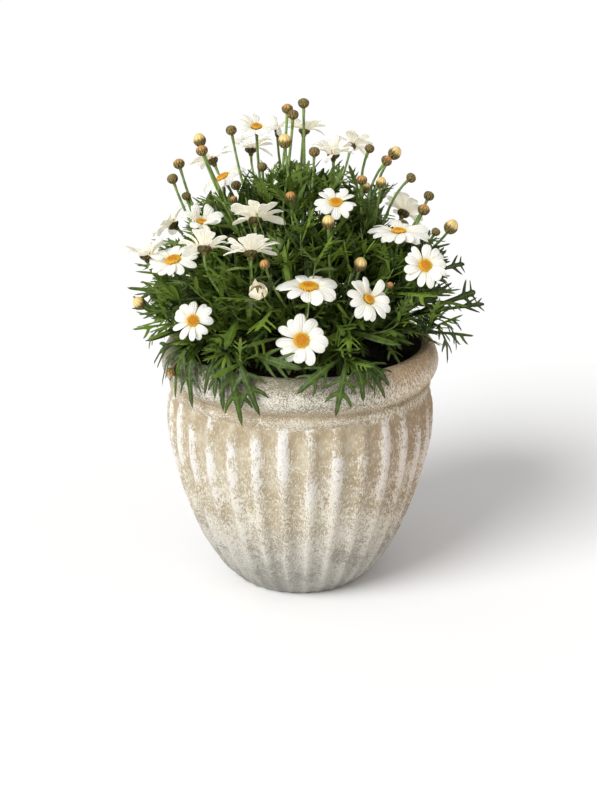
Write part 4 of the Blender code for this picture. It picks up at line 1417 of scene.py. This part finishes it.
@dataclass
class YellowEye:
    """Domed disc of florets: shut in the middle and open towards its edge."""

    finish: Material
    florets: int = 120
    seed: int = 23
    dome: Mould = None
    shut_floret: Mould = None
    open_floret: Mould = None

    def __post_init__(self) -> None:
        """Model the dome, a shut floret and an open one, each one metre in radius."""
        bench = Bench(bpy.ops.mesh.primitive_uv_sphere_add, segments=20, ring_count=12, radius=1.0)
        bpy.ops.mesh.select_all(action="SELECT")
        bpy.ops.mesh.bisect(plane_co=(0, 0, -0.1), plane_no=(0, 0, 1), clear_inner=True, use_fill=True)
        bench.face_out()
        self.dome = Mould.cast_from(bench.done())
        bench = Bench(bpy.ops.mesh.primitive_ico_sphere_add, subdivisions=1, radius=1.0)
        self.shut_floret = Mould.cast_from(bench.done())
        bench = Bench(bpy.ops.mesh.primitive_cone_add, vertices=5, radius1=0.55, radius2=1.15, depth=2.0,
                      location=(0, 0, 0.2))
        bench.pick(lambda co: co.z > 0)
        bench.extend((0, 0, 0), (0.55, 0.55, 1.0))
        bench.extend((0, 0, -0.9), (0.3, 0.3, 1.0))
        bench.face_out()
        self.open_floret = Mould.cast_from(bench.done())

    def build(self, name: str, bloom: Bloom) -> None:
        """Make the eye of one bloom and present it."""
        draw = np.random.default_rng(self.seed + int(name[-2:]))
        radius, rise = bloom.disc * 0.96, 0.40 * bloom.disc
        turn, centre = turned_to(bloom.facing), np.array(bloom.centre)
        base = 0.65 * MM
        casting = Casting()
        dome = self.dome.points * np.array([radius * 0.95, radius * 0.95, rise * 0.92])
        casting.pour(self.dome, (dome + [0, 0, base + 0.05 * rise]) @ turn.T + centre, 2.0, 0.5)
        size = radius / math.sqrt(self.florets)
        for index in range(self.florets):
            share = math.sqrt((index + 0.5) / self.florets)
            angle = index * GOLDEN_TURN
            slope = share * 0.85
            normal = Vector((math.cos(angle) * slope, math.sin(angle) * slope, 1.0)).normalized()
            dent = 0.14 * math.exp(-(share / 0.3) ** 2)
            height = base + rise * (math.sqrt(1 - 0.86 * share ** 2) - dent)
            place = np.array([radius * share * math.cos(angle), radius * share * math.sin(angle), height])
            mould = self.open_floret if share > 0.56 else self.shut_floret
            grown = size * draw.uniform(0.78, 0.98) * (0.70 + 0.32 * share)
            shape = (mould.points * np.array([grown, grown, grown * 0.95])) @ turned_to(normal).T
            casting.pour(mould, (shape + place) @ turn.T + centre, draw.random(), share)
        present(casting.piece(f"{name}_eye", self.finish, 35.0), Slot.DISC, f"{name}_disc")


@dataclass
class Heads:
    """Green cups under the blooms, and buds, with their rows of scales."""

    bract_finish: Material
    heart_finish: Material
    cup_rows: tuple = ((0.20, 0.62, 8, 0.42), (0.42, 0.86, 9, 0.40), (0.62, 1.10, 10, 0.37))
    cup_width: float = 0.88
    neck_size: Point = (2.4 * MM, 2.4 * MM, 3.2 * MM)
    neck_drop: float = 4.5 * MM
    bud_rows: tuple = ((0.10, 0.46, 8, 0.36), (0.26, 0.66, 9, 0.33), (0.44, 0.86, 9, 0.27))
    ripe_rows: tuple = ((0.10, 0.38, 8, 0.36), (0.22, 0.50, 9, 0.33), (0.30, 0.60, 9, 0.22))
    tan_rows: tuple = ((0.10, 0.46, 8, 0.36), (0.26, 0.62, 9, 0.33), (0.40, 0.78, 9, 0.22))
    petal_rows: tuple = ((0.26, 0.87, 6, 0.92), (0.30, 0.82, 5, 0.86))
    seed: int = 31
    bract: Mould = None
    core: Mould = None

    def __post_init__(self) -> None:
        """Model one scale and one round core."""
        bench = Bench(bpy.ops.mesh.primitive_grid_add, x_subdivisions=2, y_subdivisions=4, size=1.0,
                      location=(0, 0, 0))
        bpy.ops.transform.translate(value=(0, 0.5, 0))
        shape = bmesh.from_edit_mesh(bench.obj.data)
        for vertex in shape.verts:
            share = min(1.0, max(0.0, vertex.co.y))
            full = 0.55 + 0.45 * math.sin(math.pi * min(share * 1.2, 1.0))
            vertex.co.x *= 2 * full * (1 - share ** 2.2) + 0.04
        bmesh.update_edit_mesh(bench.obj.data)
        bench.pillow(0.10)
        self.bract = Mould.cast_from(bench.done(), lambda points: np.stack(
            [(np.abs(points[:, 2]) < 0.01).astype(float), np.clip(points[:, 1], 0, 1)], 1))
        bench = Bench(bpy.ops.mesh.primitive_uv_sphere_add, segments=18, ring_count=10, radius=1.0)
        self.core = Mould.cast_from(bench.done(), lambda points: np.stack(
            [np.arctan2(points[:, 1], points[:, 0]) / (2 * math.pi) + 0.5, points[:, 2] / 2 + 0.5], 1))

    def scales(self, casting: Casting, radii: tuple[float, float], rows: Sequence[tuple], turn: np.ndarray,
               centre: np.ndarray, draw: np.random.Generator, flare: float, stage: float) -> None:
        """Wrap rows of scales round a head.

        Args:
            casting: Where the scales are gathered.
            radii: Half width and half height of the round core.
            rows: For each row, its start and end as shares of half a turn from the stalk, its
                number of scales, and half their width as a share of the core's radius.
            turn: Rotation of the head.
            centre: Middle of the head.
            draw: Source of small differences.
            flare: How far the tips stand off, as a share of the radius.
            stage: 1 for the broad papery edges of a bud, 0 for the narrow ones of a cup, above 1
                for petals that open.
        """
        wide, tall = radii
        for number, (start, end, count, half) in enumerate(rows):
            mark = stage if stage > 1 else stage * (0.3 + 0.35 * number)
            for index in range(count):
                angle = 2 * math.pi * (index + 0.5 * (number % 2) + draw.normal(0, 0.04)) / count
                share = self.bract.points[:, 1]
                polar = math.pi * (start + (end * draw.uniform(0.90, 1.04) - start) * share)
                stand = 1.02 + 0.02 * number + flare * share ** 3 + 0.5 * self.bract.points[:, 2]
                ring = np.sin(np.clip(polar, 0.05, math.pi)) * wide * stand
                side = self.bract.points[:, 0] * half * wide
                local = np.stack([ring * math.cos(angle) - side * math.sin(angle),
                                  ring * math.sin(angle) + side * math.cos(angle),
                                  -np.cos(polar) * tall * stand], 1)
                casting.pour(self.bract, local @ turn.T + centre, draw.random(), mark)

    def build(self, stem: str) -> None:
        """Make the cups and buds of one stem and present them."""
        draw = np.random.default_rng(self.seed + list(STEMS).index(stem))
        scales, hearts = Casting(), Casting()
        for bloom in (b for b in BLOOMS.values() if b.stem == stem):
            wide, tall = self.cup_width * bloom.hub, 4.6 * MM
            turn = turned_to(bloom.facing)
            centre = np.array(bloom.centre - bloom.facing * 0.4 * MM)
            bowl = self.core.points * np.array([wide, wide, tall])
            bowl[:, 2] = np.minimum(bowl[:, 2], 0.0)
            scales.pour(self.core, bowl @ turn.T + centre, 0.3)
            neck = self.core.points * np.array(self.neck_size) - np.array([0, 0, self.neck_drop])
            scales.pour(self.core, neck @ turn.T + centre, 0.8)
            self.scales(scales, (wide, tall), [(s * 0.5, e * 0.5, n, w) for s, e, n, w in self.cup_rows],
                        turn, centre, draw, 0.03, 0.0)
        for bud in (b for b in BUDS if b.stem == stem):
            facing = Vector(bud_facing(bud))
            wide = bud.radius * MM * 0.93
            tall = wide * (1.14 if bud.stage.value >= 1 else 0.93)
            turn, centre = turned_to(facing), np.array(bud.centre)
            core = self.core.points * np.array([wide, wide, tall])
            inner, shown = (0.85, 0.0) if bud.stage is BudStage.OPENING else (1.0, bud.stage.value)
            hearts.pour(self.core, (inner * core) @ turn.T + centre, draw.random(), shown)
            rows = {BudStage.SHUT: self.bud_rows, BudStage.TAN: self.tan_rows}.get(bud.stage, self.ripe_rows)
            if bud.stage is BudStage.OPENING:
                self.scales(hearts, (1.15 * wide, 1.1 * tall), self.petal_rows, turn, centre, draw, 0.12,
                            bud.stage.value)
                blade = self.bract.points[:, [0, 2, 1]] * np.array([0.5 * wide, wide, 1.5 * tall])
                blade += np.array([-0.3 * wide, 0.25 * wide, 0.5 * tall])
                hearts.pour(self.bract, blade @ turn.T + centre, 0.5, bud.stage.value)
            self.scales(scales, (wide, tall), rows, turn, centre, draw, 0.02, 1.0)
        if scales.count:
            present(scales.piece(f"scales_{stem}", self.bract_finish, 40.0), Slot.LEAF_GREEN, f"stem_{stem}")
        if hearts.count:
            present(hearts.piece(f"hearts_{stem}", self.heart_finish, 60.0), Slot.PETAL, f"stem_{stem}")


def trunk_line(stem: Stem) -> Line:
    """Line of a trunk from the soil to its fork."""
    mouth = Vector((stem.root[0] * MM, stem.root[1] * MM, SOIL_TOP))
    fork = Vector(stem.fork) * MM
    bend = Vector((mouth.x + 0.2 * (fork.x - mouth.x), mouth.y + 0.2 * (fork.y - mouth.y),
                   mouth.z + 0.55 * (fork.z - mouth.z)))
    return Line([mouth, bend, fork])


def stalk_line(trunk: Line, end: Vector, facing: Vector, share: float) -> Line:
    """Line of a stalk from its place on the trunk to its head, arriving along its facing.

    Args:
        trunk: Line of the trunk.
        end: Where the stalk ends.
        facing: Direction that it ends in.
        share: Where on the trunk it starts.

    Returns:
        The stalk's line.
    """
    start = Vector(trunk.point(share)[0])
    reach = (end - start).length
    outset = Vector(trunk.controls[2] - trunk.controls[1]).normalized()
    toward = (end - start).normalized()
    first = start + (outset + toward * 1.4).normalized() * reach * 0.36
    return Line([start, first, end - facing * reach * 0.26, end])


def bud_facing(bud: Bud) -> Vector:
    """Direction that a bud looks in: its own, or up and away from its trunk."""
    if bud.facing:
        return heading(*bud.facing)
    start = Vector(trunk_line(STEMS[bud.stem]).point(0.9)[0])
    return ((bud.centre - start).normalized() + Vector((0, 0, 0.55))).normalized()


@dataclass
class Shoot:
    """A line that carries leaves: its stem, its leafy stretch, and their size and spacing."""

    stem: str
    line: Line
    leafy: tuple[float, float]
    spacing: float
    leaf: tuple[float, float]
    radius: tuple[float, float]


@dataclass
class LeafForm:
    """Half outline of a leaf: stations along the rib, and the side lobes between them."""

    stations: tuple
    lobes: tuple

    def model(self, thickness: float) -> Mould:
        """Model the leaf, one metre long, by extruding half of it and mirroring that.

        Args:
            thickness: Thickness at the ribs, as a share of the length.

        Returns:
            The mould, mapped with 0 on a rib to 1 at the edge, and along the leaf.
        """
        first, second = self.stations[:2]
        bench = Bench(bpy.ops.mesh.primitive_plane_add, size=1.0, location=(0, 0, 0))
        bpy.ops.transform.translate(value=(0.5, 0.5, 0))
        bpy.ops.transform.resize(value=(first[1], second[0], 1), center_override=(0, 0, 0))
        bench.pick(lambda co: co.y > second[0] - 1e-6)
        bpy.ops.transform.resize(value=(second[1] / first[1], 1, 1), center_override=(0, second[0], 0))
        for before, after in zip(self.stations[1:], self.stations[2:]):
            narrow = max(after[1] / before[1], 1e-6)
            bench.extend((0, after[0] - before[0], 0), (narrow, 1, 1), (0, after[0], 0))
        for low, high, steps in self.lobes:
            self.grow_lobe(bench, self.stations[low], self.stations[high], steps)
        bench.weld(1e-4)
        bench.modify("MIRROR", use_axis=(True, False, False), use_clip=True, merge_threshold=1e-4)
        bench.pillow(thickness)
        bench.face_out()
        top = thickness / 4
        return Mould.cast_from(bench.done(), lambda points: np.stack(
            [(np.abs(points[:, 2]) < top).astype(float), np.clip(points[:, 1], 0, 1)], 1))

    @staticmethod
    def grow_lobe(bench: Bench, low: tuple, high: tuple, steps: Sequence[tuple]) -> None:
        """Extrude one side lobe from the outline between two stations, with a rib of its own."""
        def on_edge(co: Vector) -> bool:
            """True for the outline's two corners at the stations."""
            return any(abs(co.x - w) < 1e-5 and abs(co.y - y) < 1e-5 for y, w in (low, high))

        bench.pick(on_edge)
        bpy.ops.mesh.subdivide(number_cuts=1)
        for across, along, narrow in steps:
            bench.extend((across, along, 0), (narrow, narrow, 1))


@dataclass
class Foliage:
    """All leaves and stalks: shoots on every stem, and the leaves along them."""

    leaf_finish: Material
    stalk_finish: Material
    viewer: Vector
    side_shoots: int = 120
    broad: float = 1.8
    tries: int = 4
    reach: float = 0.163
    rise: float = 0.160
    top: float = 0.216
    seed: int = 5
    moulds: dict[LeafKind, Mould] = field(default_factory=dict)
    forms: dict[LeafKind, LeafForm] = field(default_factory=lambda: {
        LeafKind.PLAIN: LeafForm(((0, 0.018), (0.28, 0.036), (0.58, 0.048), (0.84, 0.036), (1.0, 0.0)), ()),
        LeafKind.FORK: LeafForm(
            ((0, 0.016), (0.25, 0.022), (0.46, 0.026), (0.53, 0.036), (0.60, 0.034), (0.65, 0.030),
             (0.71, 0.037), (0.78, 0.034), (0.82, 0.026), (0.94, 0.020), (1.0, 0.0)),
            ((3, 4, ((0.058, 0.060, 0.90), (0.044, 0.062, 0.78), (0.014, 0.030, 0.1))),
             (6, 7, ((0.050, 0.050, 0.90), (0.036, 0.055, 0.78), (0.010, 0.026, 0.1))))),
        LeafKind.THREE: LeafForm(
            ((0, 0.016), (0.25, 0.022), (0.48, 0.030), (0.56, 0.044), (0.65, 0.042), (0.71, 0.031),
             (0.93, 0.023), (1.0, 0.0)),
            ((3, 4, ((0.056, 0.078, 0.92), (0.046, 0.085, 0.76), (0.014, 0.036, 0.1))),)),
        LeafKind.FIVE: LeafForm(
            ((0, 0.014), (0.25, 0.020), (0.39, 0.029), (0.45, 0.038), (0.53, 0.036), (0.60, 0.036),
             (0.66, 0.043), (0.73, 0.040), (0.78, 0.030), (0.94, 0.022), (1.0, 0.0)),
            ((3, 4, ((0.046, 0.073, 0.92), (0.042, 0.090, 0.76), (0.012, 0.036, 0.1))),
             (6, 7, ((0.038, 0.063, 0.92), (0.034, 0.080, 0.76), (0.010, 0.030, 0.1))))),
        LeafKind.SEVEN: LeafForm(
            ((0, 0.013), (0.18, 0.018), (0.32, 0.025), (0.37, 0.033), (0.45, 0.031), (0.50, 0.031),
             (0.55, 0.037), (0.62, 0.035), (0.67, 0.033), (0.71, 0.037), (0.78, 0.034), (0.81, 0.027),
             (0.91, 0.022), (1.0, 0.0)),
            ((3, 4, ((0.044, 0.070, 0.90), (0.058, 0.120, 0.03))),
             (6, 7, ((0.040, 0.060, 0.90), (0.050, 0.105, 0.03))),
             (9, 10, ((0.030, 0.055, 0.90), (0.034, 0.085, 0.03))))),
    })

    def __post_init__(self) -> None:
        """Model the leaves, and gather what they keep clear of."""
        for kind, form in self.forms.items():
            self.moulds[kind] = form.model(0.016)
        self.guards = [(np.array(bloom.centre), np.array(bloom.facing), bloom.radius * MM, bloom.rise)
                       for bloom in BLOOMS.values()]
        self.bud_guards = np.array([[*bud.centre, bud.radius * MM] for bud in BUDS])

    def head_stalks(self) -> list[Shoot]:
        """Stalks of all blooms and buds, leafy on their lower stretch."""
        shoots, counts = [], dict.fromkeys(STEMS, 0)
        ends = [(b.stem, b.centre - b.facing * 6.3 * MM, b.facing) for b in BLOOMS.values()]
        ends += [(b.stem, b.centre - bud_facing(b) * b.radius * MM * 0.6, bud_facing(b)) for b in BUDS]
        for stem, end, facing in ends:
            counts[stem] += 1
            share = 0.35 + 0.63 * ((counts[stem] * GOLDEN_SHARE) % 1.0)
            line = stalk_line(trunk_line(STEMS[stem]), end, facing, share)
            bare = 0.042 / max(line.length(), 0.06)
            shoots.append(Shoot(stem, line, (0.10, max(0.35, 1 - bare)), 7.0 * MM, (34 * MM, 60 * MM),
                                (1.5 * MM, 1.15 * MM)))
        return shoots

    def fill_shoots(self, draw: random.Random) -> list[Shoot]:
        """Leafy side shoots that fill the bush out to its domed outline."""
        shoots = []
        for index in range(self.side_shoots):
            turn = index * GOLDEN_TURN
            level = math.sqrt((index + 0.5) / self.side_shoots)
            depth = draw.uniform(0.62, 0.86)
            out = self.reach * level * depth * 1.02
            up = self.top + 0.012 + self.rise * math.sqrt(max(0.0, 1 - level ** 2)) * depth
            end = Vector((out * math.cos(turn), out * math.sin(turn), max(up, 0.236)))
            stem = min(STEMS, key=lambda name: (Vector(STEMS[name].fork) * MM - end).length)
            facing = (Vector((end.x, end.y, 0)) * 5 + Vector((0, 0, 0.9))).normalized()
            line = stalk_line(trunk_line(STEMS[stem]), end, facing, draw.uniform(0.3, 1.0))
            shoots.append(Shoot(stem, line, (0.28, 1.0), 5.8 * MM, (32 * MM, 60 * MM), (1.3 * MM, 0.5 * MM)))
        return shoots

    def clear(self, points: np.ndarray) -> bool:
        """True where a leaf lies off the pot, soil, blooms and buds and within the outline."""
        radius = np.hypot(points[:, 0], points[:, 1])
        height = points[:, 2]
        low, high = np.array(CAD_LOW) + MM, np.array(CAD_HIGH) - MM
        in_soil = (height < SOIL_TOP).any() and (radius < 0.108).any()
        if (points < low).any() or (points > high).any() or in_soil:
            return False
        wall = (height < 0.2285) & (radius > 0.103) & (radius < 0.1275)
        if wall.any():
            return False
        dome = self.top + 0.014 + self.rise * np.sqrt(np.clip(1 - (radius / (self.reach * 1.02)) ** 2, 0, 1))
        if (height > dome).any():
            return False
        return self.clear_of_heads(points)

    def clear_of_heads(self, points: np.ndarray) -> bool:
        """True where a leaf neither touches a bloom or bud nor hangs in front of it."""
        viewer = np.array(self.viewer)
        for centre, facing, radius, rise in self.guards:
            offset = points - centre
            deep = offset @ facing
            ring = np.linalg.norm(offset - deep[:, None] * facing, axis=1)
            top = radius * math.sin(math.radians(max(rise, 0))) + 3 * MM
            if ((ring < radius + 1.5 * MM) & (deep > -5 * MM) & (deep < top)).any():
                return False
            sight = viewer - centre
            sight /= np.linalg.norm(sight)
            near = offset @ sight
            past = np.linalg.norm(offset - near[:, None] * sight, axis=1)
            if ((near > 0) & (near < 0.12) & (past < 0.42 * radius)).any():
                return False
            tilt = float(sight @ facing)
            if abs(tilt) > 0.12:
                away = deep / tilt
                landing = np.linalg.norm(offset - away[:, None] * sight, axis=1)
                if ((away > 0) & (away < 0.12) & (landing < 0.93 * radius)).any():
                    return False
        offset = points[:, None, :] - self.bud_guards[None, :, :3]
        sight = viewer - self.bud_guards[:, :3]
        sight /= np.linalg.norm(sight, axis=1, keepdims=True)
        near = (offset * sight[None]).sum(2)
        past = np.linalg.norm(offset - near[..., None] * sight[None], axis=2)
        radius = self.bud_guards[None, :, 3]
        return not ((near > -radius) & (near < 0.10) & (past < radius + MM)).any()

    def shape(self, kind: LeafKind, line: Line, side: np.ndarray, cup: float, sway: float) -> np.ndarray:
        """Points of a leaf laid along a line.

        Args:
            kind: Which leaf.
            line: Line of its rib.
            side: Unit vector across it.
            cup: How far its edges lift, as a share of its length.
            sway: How far its tip swings sideways, as a share of its length.

        Returns:
            The leaf's points.
        """
        mould = self.moulds[kind]
        length = line.length()
        along = mould.points[:, 1]
        across = mould.points[:, 0] * self.broad * min(1.0, 44 * MM / length) ** 0.7
        centre, tangent = line.point(along), line.tangent(along)
        normal = np.cross(side[None, :], tangent)
        lift = mould.points[:, 2] + cup * (np.abs(across) * 1.4 + 0.015 * mould.spread[:, 0])
        return (centre + side * ((across + sway * along ** 2) * length)[:, None]
                + normal * (lift * length)[:, None])

    def sprout(self, draw: random.Random, shoot: Shoot, share: float, turn: float,
               size: float = 1.0) -> tuple | None:
        """Leaf at a place of a shoot, or None where none fits.

        Args:
            draw: Source of differences.
            shoot: The shoot that it grows from.
            share: Where on the shoot.
            turn: Its angle round the shoot.
            size: Scale of its length.

        Returns:
            The leaf's kind, points and tint.
        """
        root = Vector(shoot.line.point(share)[0])
        tangent = Vector(shoot.line.tangent(share)[0])
        frame_turn = Matrix(turned_to(tangent).tolist())
        away = frame_turn @ Vector((math.cos(turn), math.sin(turn), 0))
        outward = Vector((root.x, root.y, 0)) * 6
        age = (share - shoot.leafy[0]) / (shoot.leafy[1] - shoot.leafy[0])
        for attempt in range(self.tries):
            length = draw.uniform(*shoot.leaf) * size * (1.08 - 0.38 * age ** 2) * (1 - 0.16 * attempt)
            start = (away + tangent * (0.75 + 1.1 * age ** 2) + outward * 0.12).normalized()
            droop = draw.uniform(-0.15, 0.5)
            end = (start + outward * 0.35 + away * 0.25 - Vector((0, 0, droop))).normalized()
            control = root + start * length * 0.5
            line = Line([root, control, control + end * length * 0.5])
            side = start.cross(end)
            if side.length < 1e-4:
                side = start.cross(Vector((0, 0, 1)))
            side.normalize()
            kinds = [LeafKind.PLAIN, LeafKind.FORK, LeafKind.THREE, LeafKind.FIVE, LeafKind.SEVEN]
            kind = LeafKind.PLAIN if length < 20 * MM else draw.choice(kinds)
            points = self.shape(kind, line, np.array(side), draw.uniform(0.05, 0.4), draw.gauss(0, 0.06))
            if self.clear(points):
                shaded = 0.24 * min(1.0, max(0.0, root.x / 0.08))
                bright = min(1.0, max(0.0, 0.22 + 0.40 * age - shaded + draw.gauss(0, 0.31)))
                return kind, points, bright
            turn += 1.3
        return None

    def rim_leaf(self, draw: random.Random, root: np.ndarray, tip: Vector) -> tuple:
        """Leaf from a low shoot to a chosen tip, arched over the rim."""
        start = Vector(root)
        reach = max(math.hypot(tip.x, tip.y), math.hypot(start.x, start.y)) + 2 * MM
        middle = (start + tip) / 2
        level = math.hypot(middle.x, middle.y)
        control = Vector((middle.x * reach / level, middle.y * reach / level, max(start.z, tip.z) + 3 * MM))
        side = (control - start).cross(tip - start).normalized()
        line = Line([start, control, tip])
        kind = draw.choice([LeafKind.FORK, LeafKind.FIVE, LeafKind.THREE])
        return kind, self.shape(kind, line, np.array(side), 0.05, 0.0), draw.uniform(0.0, 0.25)

    def stalks(self, stem: str, shoots: Sequence[Shoot]) -> None:
        """Trunk and stalks of one stem, drawn as curves and made one mesh."""
        data = bpy.data.curves.new(f"stalks_{stem}", "CURVE")
        data.dimensions = "3D"
        data.bevel_depth = 1.0
        data.bevel_resolution = 1
        data.use_fill_caps = True
        trunk = trunk_line(STEMS[stem])
        foot = trunk.point(0.0)[0] - np.array([0, 0, 8 * MM])
        rows = [(np.vstack([foot, trunk.point(np.linspace(0, 1, 9))]), np.linspace(3.0, 2.0, 10) * MM)]
        for shoot in shoots:
            if stem == shoot.stem:
                shares = np.linspace(0, 1, 15)
                radii = np.interp(shares, [0, 0.93, 1],
                                  [shoot.radius[0], shoot.radius[1], shoot.radius[1] * 1.35])
                rows.append((shoot.line.point(shares), radii))
        for points, radii in rows:
            spline = data.splines.new("POLY")
            spline.points.add(len(points) - 1)
            spline.points.foreach_set("co", np.hstack([points, np.ones((len(points), 1))]).ravel())
            spline.points.foreach_set("radius", radii)
            spline.use_smooth = True
        obj = bpy.data.objects.new(f"stalks_{stem}", data)
        bpy.context.scene.collection.objects.link(obj)
        clear_selection()
        obj.select_set(True)
        bpy.context.view_layer.objects.active = obj
        bpy.ops.object.convert(target="MESH")
        piece = bpy.context.object
        piece.data.materials.clear()
        piece.data.materials.append(self.stalk_finish)
        present(piece, Slot.LEAF_GREEN, f"stem_{stem}")

    def build(self) -> None:
        """Make all leaves and stalks, stem by stem, and present them."""
        draw = random.Random(self.seed)
        shoots = self.head_stalks() + self.fill_shoots(draw)
        castings = {name: Casting() for name in STEMS}
        for stem, place, tips in RIM_SHOOTS:
            end = Vector(place) * MM
            facing = Vector((end.x, end.y, 0)).normalized()
            line = stalk_line(trunk_line(STEMS[stem]), end, facing, 0.8)
            shoots.append(Shoot(stem, line, (0.35, 0.97), 6 * MM, (30 * MM, 46 * MM), (1.4 * MM, 0.6 * MM)))
            for index, tip in enumerate(tips):
                root = line.point(0.95 - 0.065 * index)[0]
                kind, points, tint = self.rim_leaf(draw, root, Vector(tip) * MM)
                castings[stem].pour(self.moulds[kind], points, tint)
        for number, shoot in enumerate(shoots):
            span = shoot.line.length() * (shoot.leafy[1] - shoot.leafy[0])
            count = max(3, int(span / shoot.spacing))
            for index in range(count):
                share = shoot.leafy[0] + (shoot.leafy[1] - shoot.leafy[0]) * (index + 0.5) / count
                leaf = self.sprout(draw, shoot, share, number * 1.9 + index * GOLDEN_TURN)
                if leaf:
                    castings[shoot.stem].pour(self.moulds[leaf[0]], leaf[1], leaf[2])
            for index in range(5 if shoot.leafy[1] > 0.9 else 0):
                leaf = self.sprout(draw, shoot, 0.985, number + index * 1.3, 0.85)
                if leaf:
                    castings[shoot.stem].pour(self.moulds[leaf[0]], leaf[1], leaf[2])
        for stem, casting in castings.items():
            LOG.info("%s has %d leaves", stem, len(casting.sizes))
            piece = casting.piece(f"leaves_{stem}", self.leaf_finish, 65.0)
            present(piece, Slot.LEAF_GREEN, f"stem_{stem}")
            self.stalks(stem, shoots)


@dataclass
class Studio:
    """White floor, soft light from the front left, and the camera."""

    camera_place: Vector = field(default_factory=lambda: Vector((-0.0014, -1.2224, 0.6087)))
    target: Vector = field(default_factory=lambda: Vector((-0.0014, 0.0, 0.1662)))
    lens: float = 63.9
    sensor: float = 36.0
    sky: float = 0.52
    key_from: Vector = field(default_factory=lambda: Vector((-0.55, -0.55, 0.63)))
    key_angle: float = math.radians(33)
    key_power: float = 2.85
    fill_place: Vector = field(default_factory=lambda: Vector((1.3, -0.2, 0.15)))
    fill_power: float = 1.7
    low_place: Vector = field(default_factory=lambda: Vector((-1.0, -1.5, 0.12)))
    low_power: float = 3.2

    def build(self) -> None:
        """Set up the floor, the sky, the light and the camera."""
        scene = bpy.context.scene
        scene.view_settings.view_transform = "Standard"
        clear_selection()
        bpy.ops.mesh.primitive_plane_add(size=60.0, location=(0, 0, 0))
        floor = bpy.context.object
        floor.name = "floor"
        floor.data.materials.append(PaleFloor().make())
        self.light_sky(scene)
        key = bpy.data.lights.new("key", "SUN")
        key.angle = self.key_angle
        key.energy = self.key_power
        self.aim(key, self.key_from * 3, Vector())
        for name, place, power, colour in (("fill", self.fill_place, self.fill_power, (1.0, 0.58, 0.36)),
                                           ("low", self.low_place, self.low_power, (1.0, 0.98, 0.95))):
            panel = bpy.data.lights.new(name, "AREA")
            panel.size = 0.8
            panel.energy = power
            panel.color = colour
            self.aim(panel, place, Vector((0, 0, 0.3)))
        camera = bpy.data.cameras.new("camera")
        camera.lens = self.lens
        camera.sensor_width = self.sensor
        scene.camera = self.aim(camera, self.camera_place, self.target)

    def light_sky(self, scene: bpy.types.Scene) -> None:
        """Even light from all round, seen as white by the camera."""
        world = bpy.data.worlds.new("sky")
        world.use_nodes = True
        scene.world = world
        desk = NodeDesk(world.node_tree)
        background = world.node_tree.nodes["Background"]
        path = desk.add("ShaderNodeLightPath").outputs["Is Camera Ray"]
        desk.feed(background.inputs["Strength"], desk.span(path, 0.0, 1.0, self.sky, 1.0))
        background.inputs["Color"].default_value = (1.0, 1.0, 1.0, 1.0)

    @staticmethod
    def aim(data: bpy.types.ID, place: Vector, target: Vector) -> bpy.types.Object:
        """Object of a light or camera at a place, turned to a target."""
        obj = bpy.data.objects.new(data.name, data)
        bpy.context.scene.collection.objects.link(obj)
        obj.location = place
        obj.rotation_euler = (target - place).to_track_quat("-Z", "Y").to_euler()
        return obj


def main() -> None:
    """Build every piece in order: pot, soil, foliage, heads, blooms and studio."""
    logging.basicConfig(level=logging.INFO, format="%(message)s")
    effects = Effects()
    studio = Studio()
    Planter(WhitewashedClay().make(effects)).build()
    SoilBed(PottingSoil().make(effects)).build()
    Foliage(LeafGreen().make(effects), StalkGreen().make(effects), studio.camera_place).build()
    heads = Heads(BractGreen().make(effects), FoldedPetal().make(effects))
    for stem in STEMS:
        heads.build(stem)
    ring = PetalRing(PetalWhite().make(effects))
    eye = YellowEye(FloretYellow().make(effects))
    for name, bloom in BLOOMS.items():
        ring.build(name, bloom)
        eye.build(name, bloom)
    studio.build()


if __name__ == "__main__":
    main()
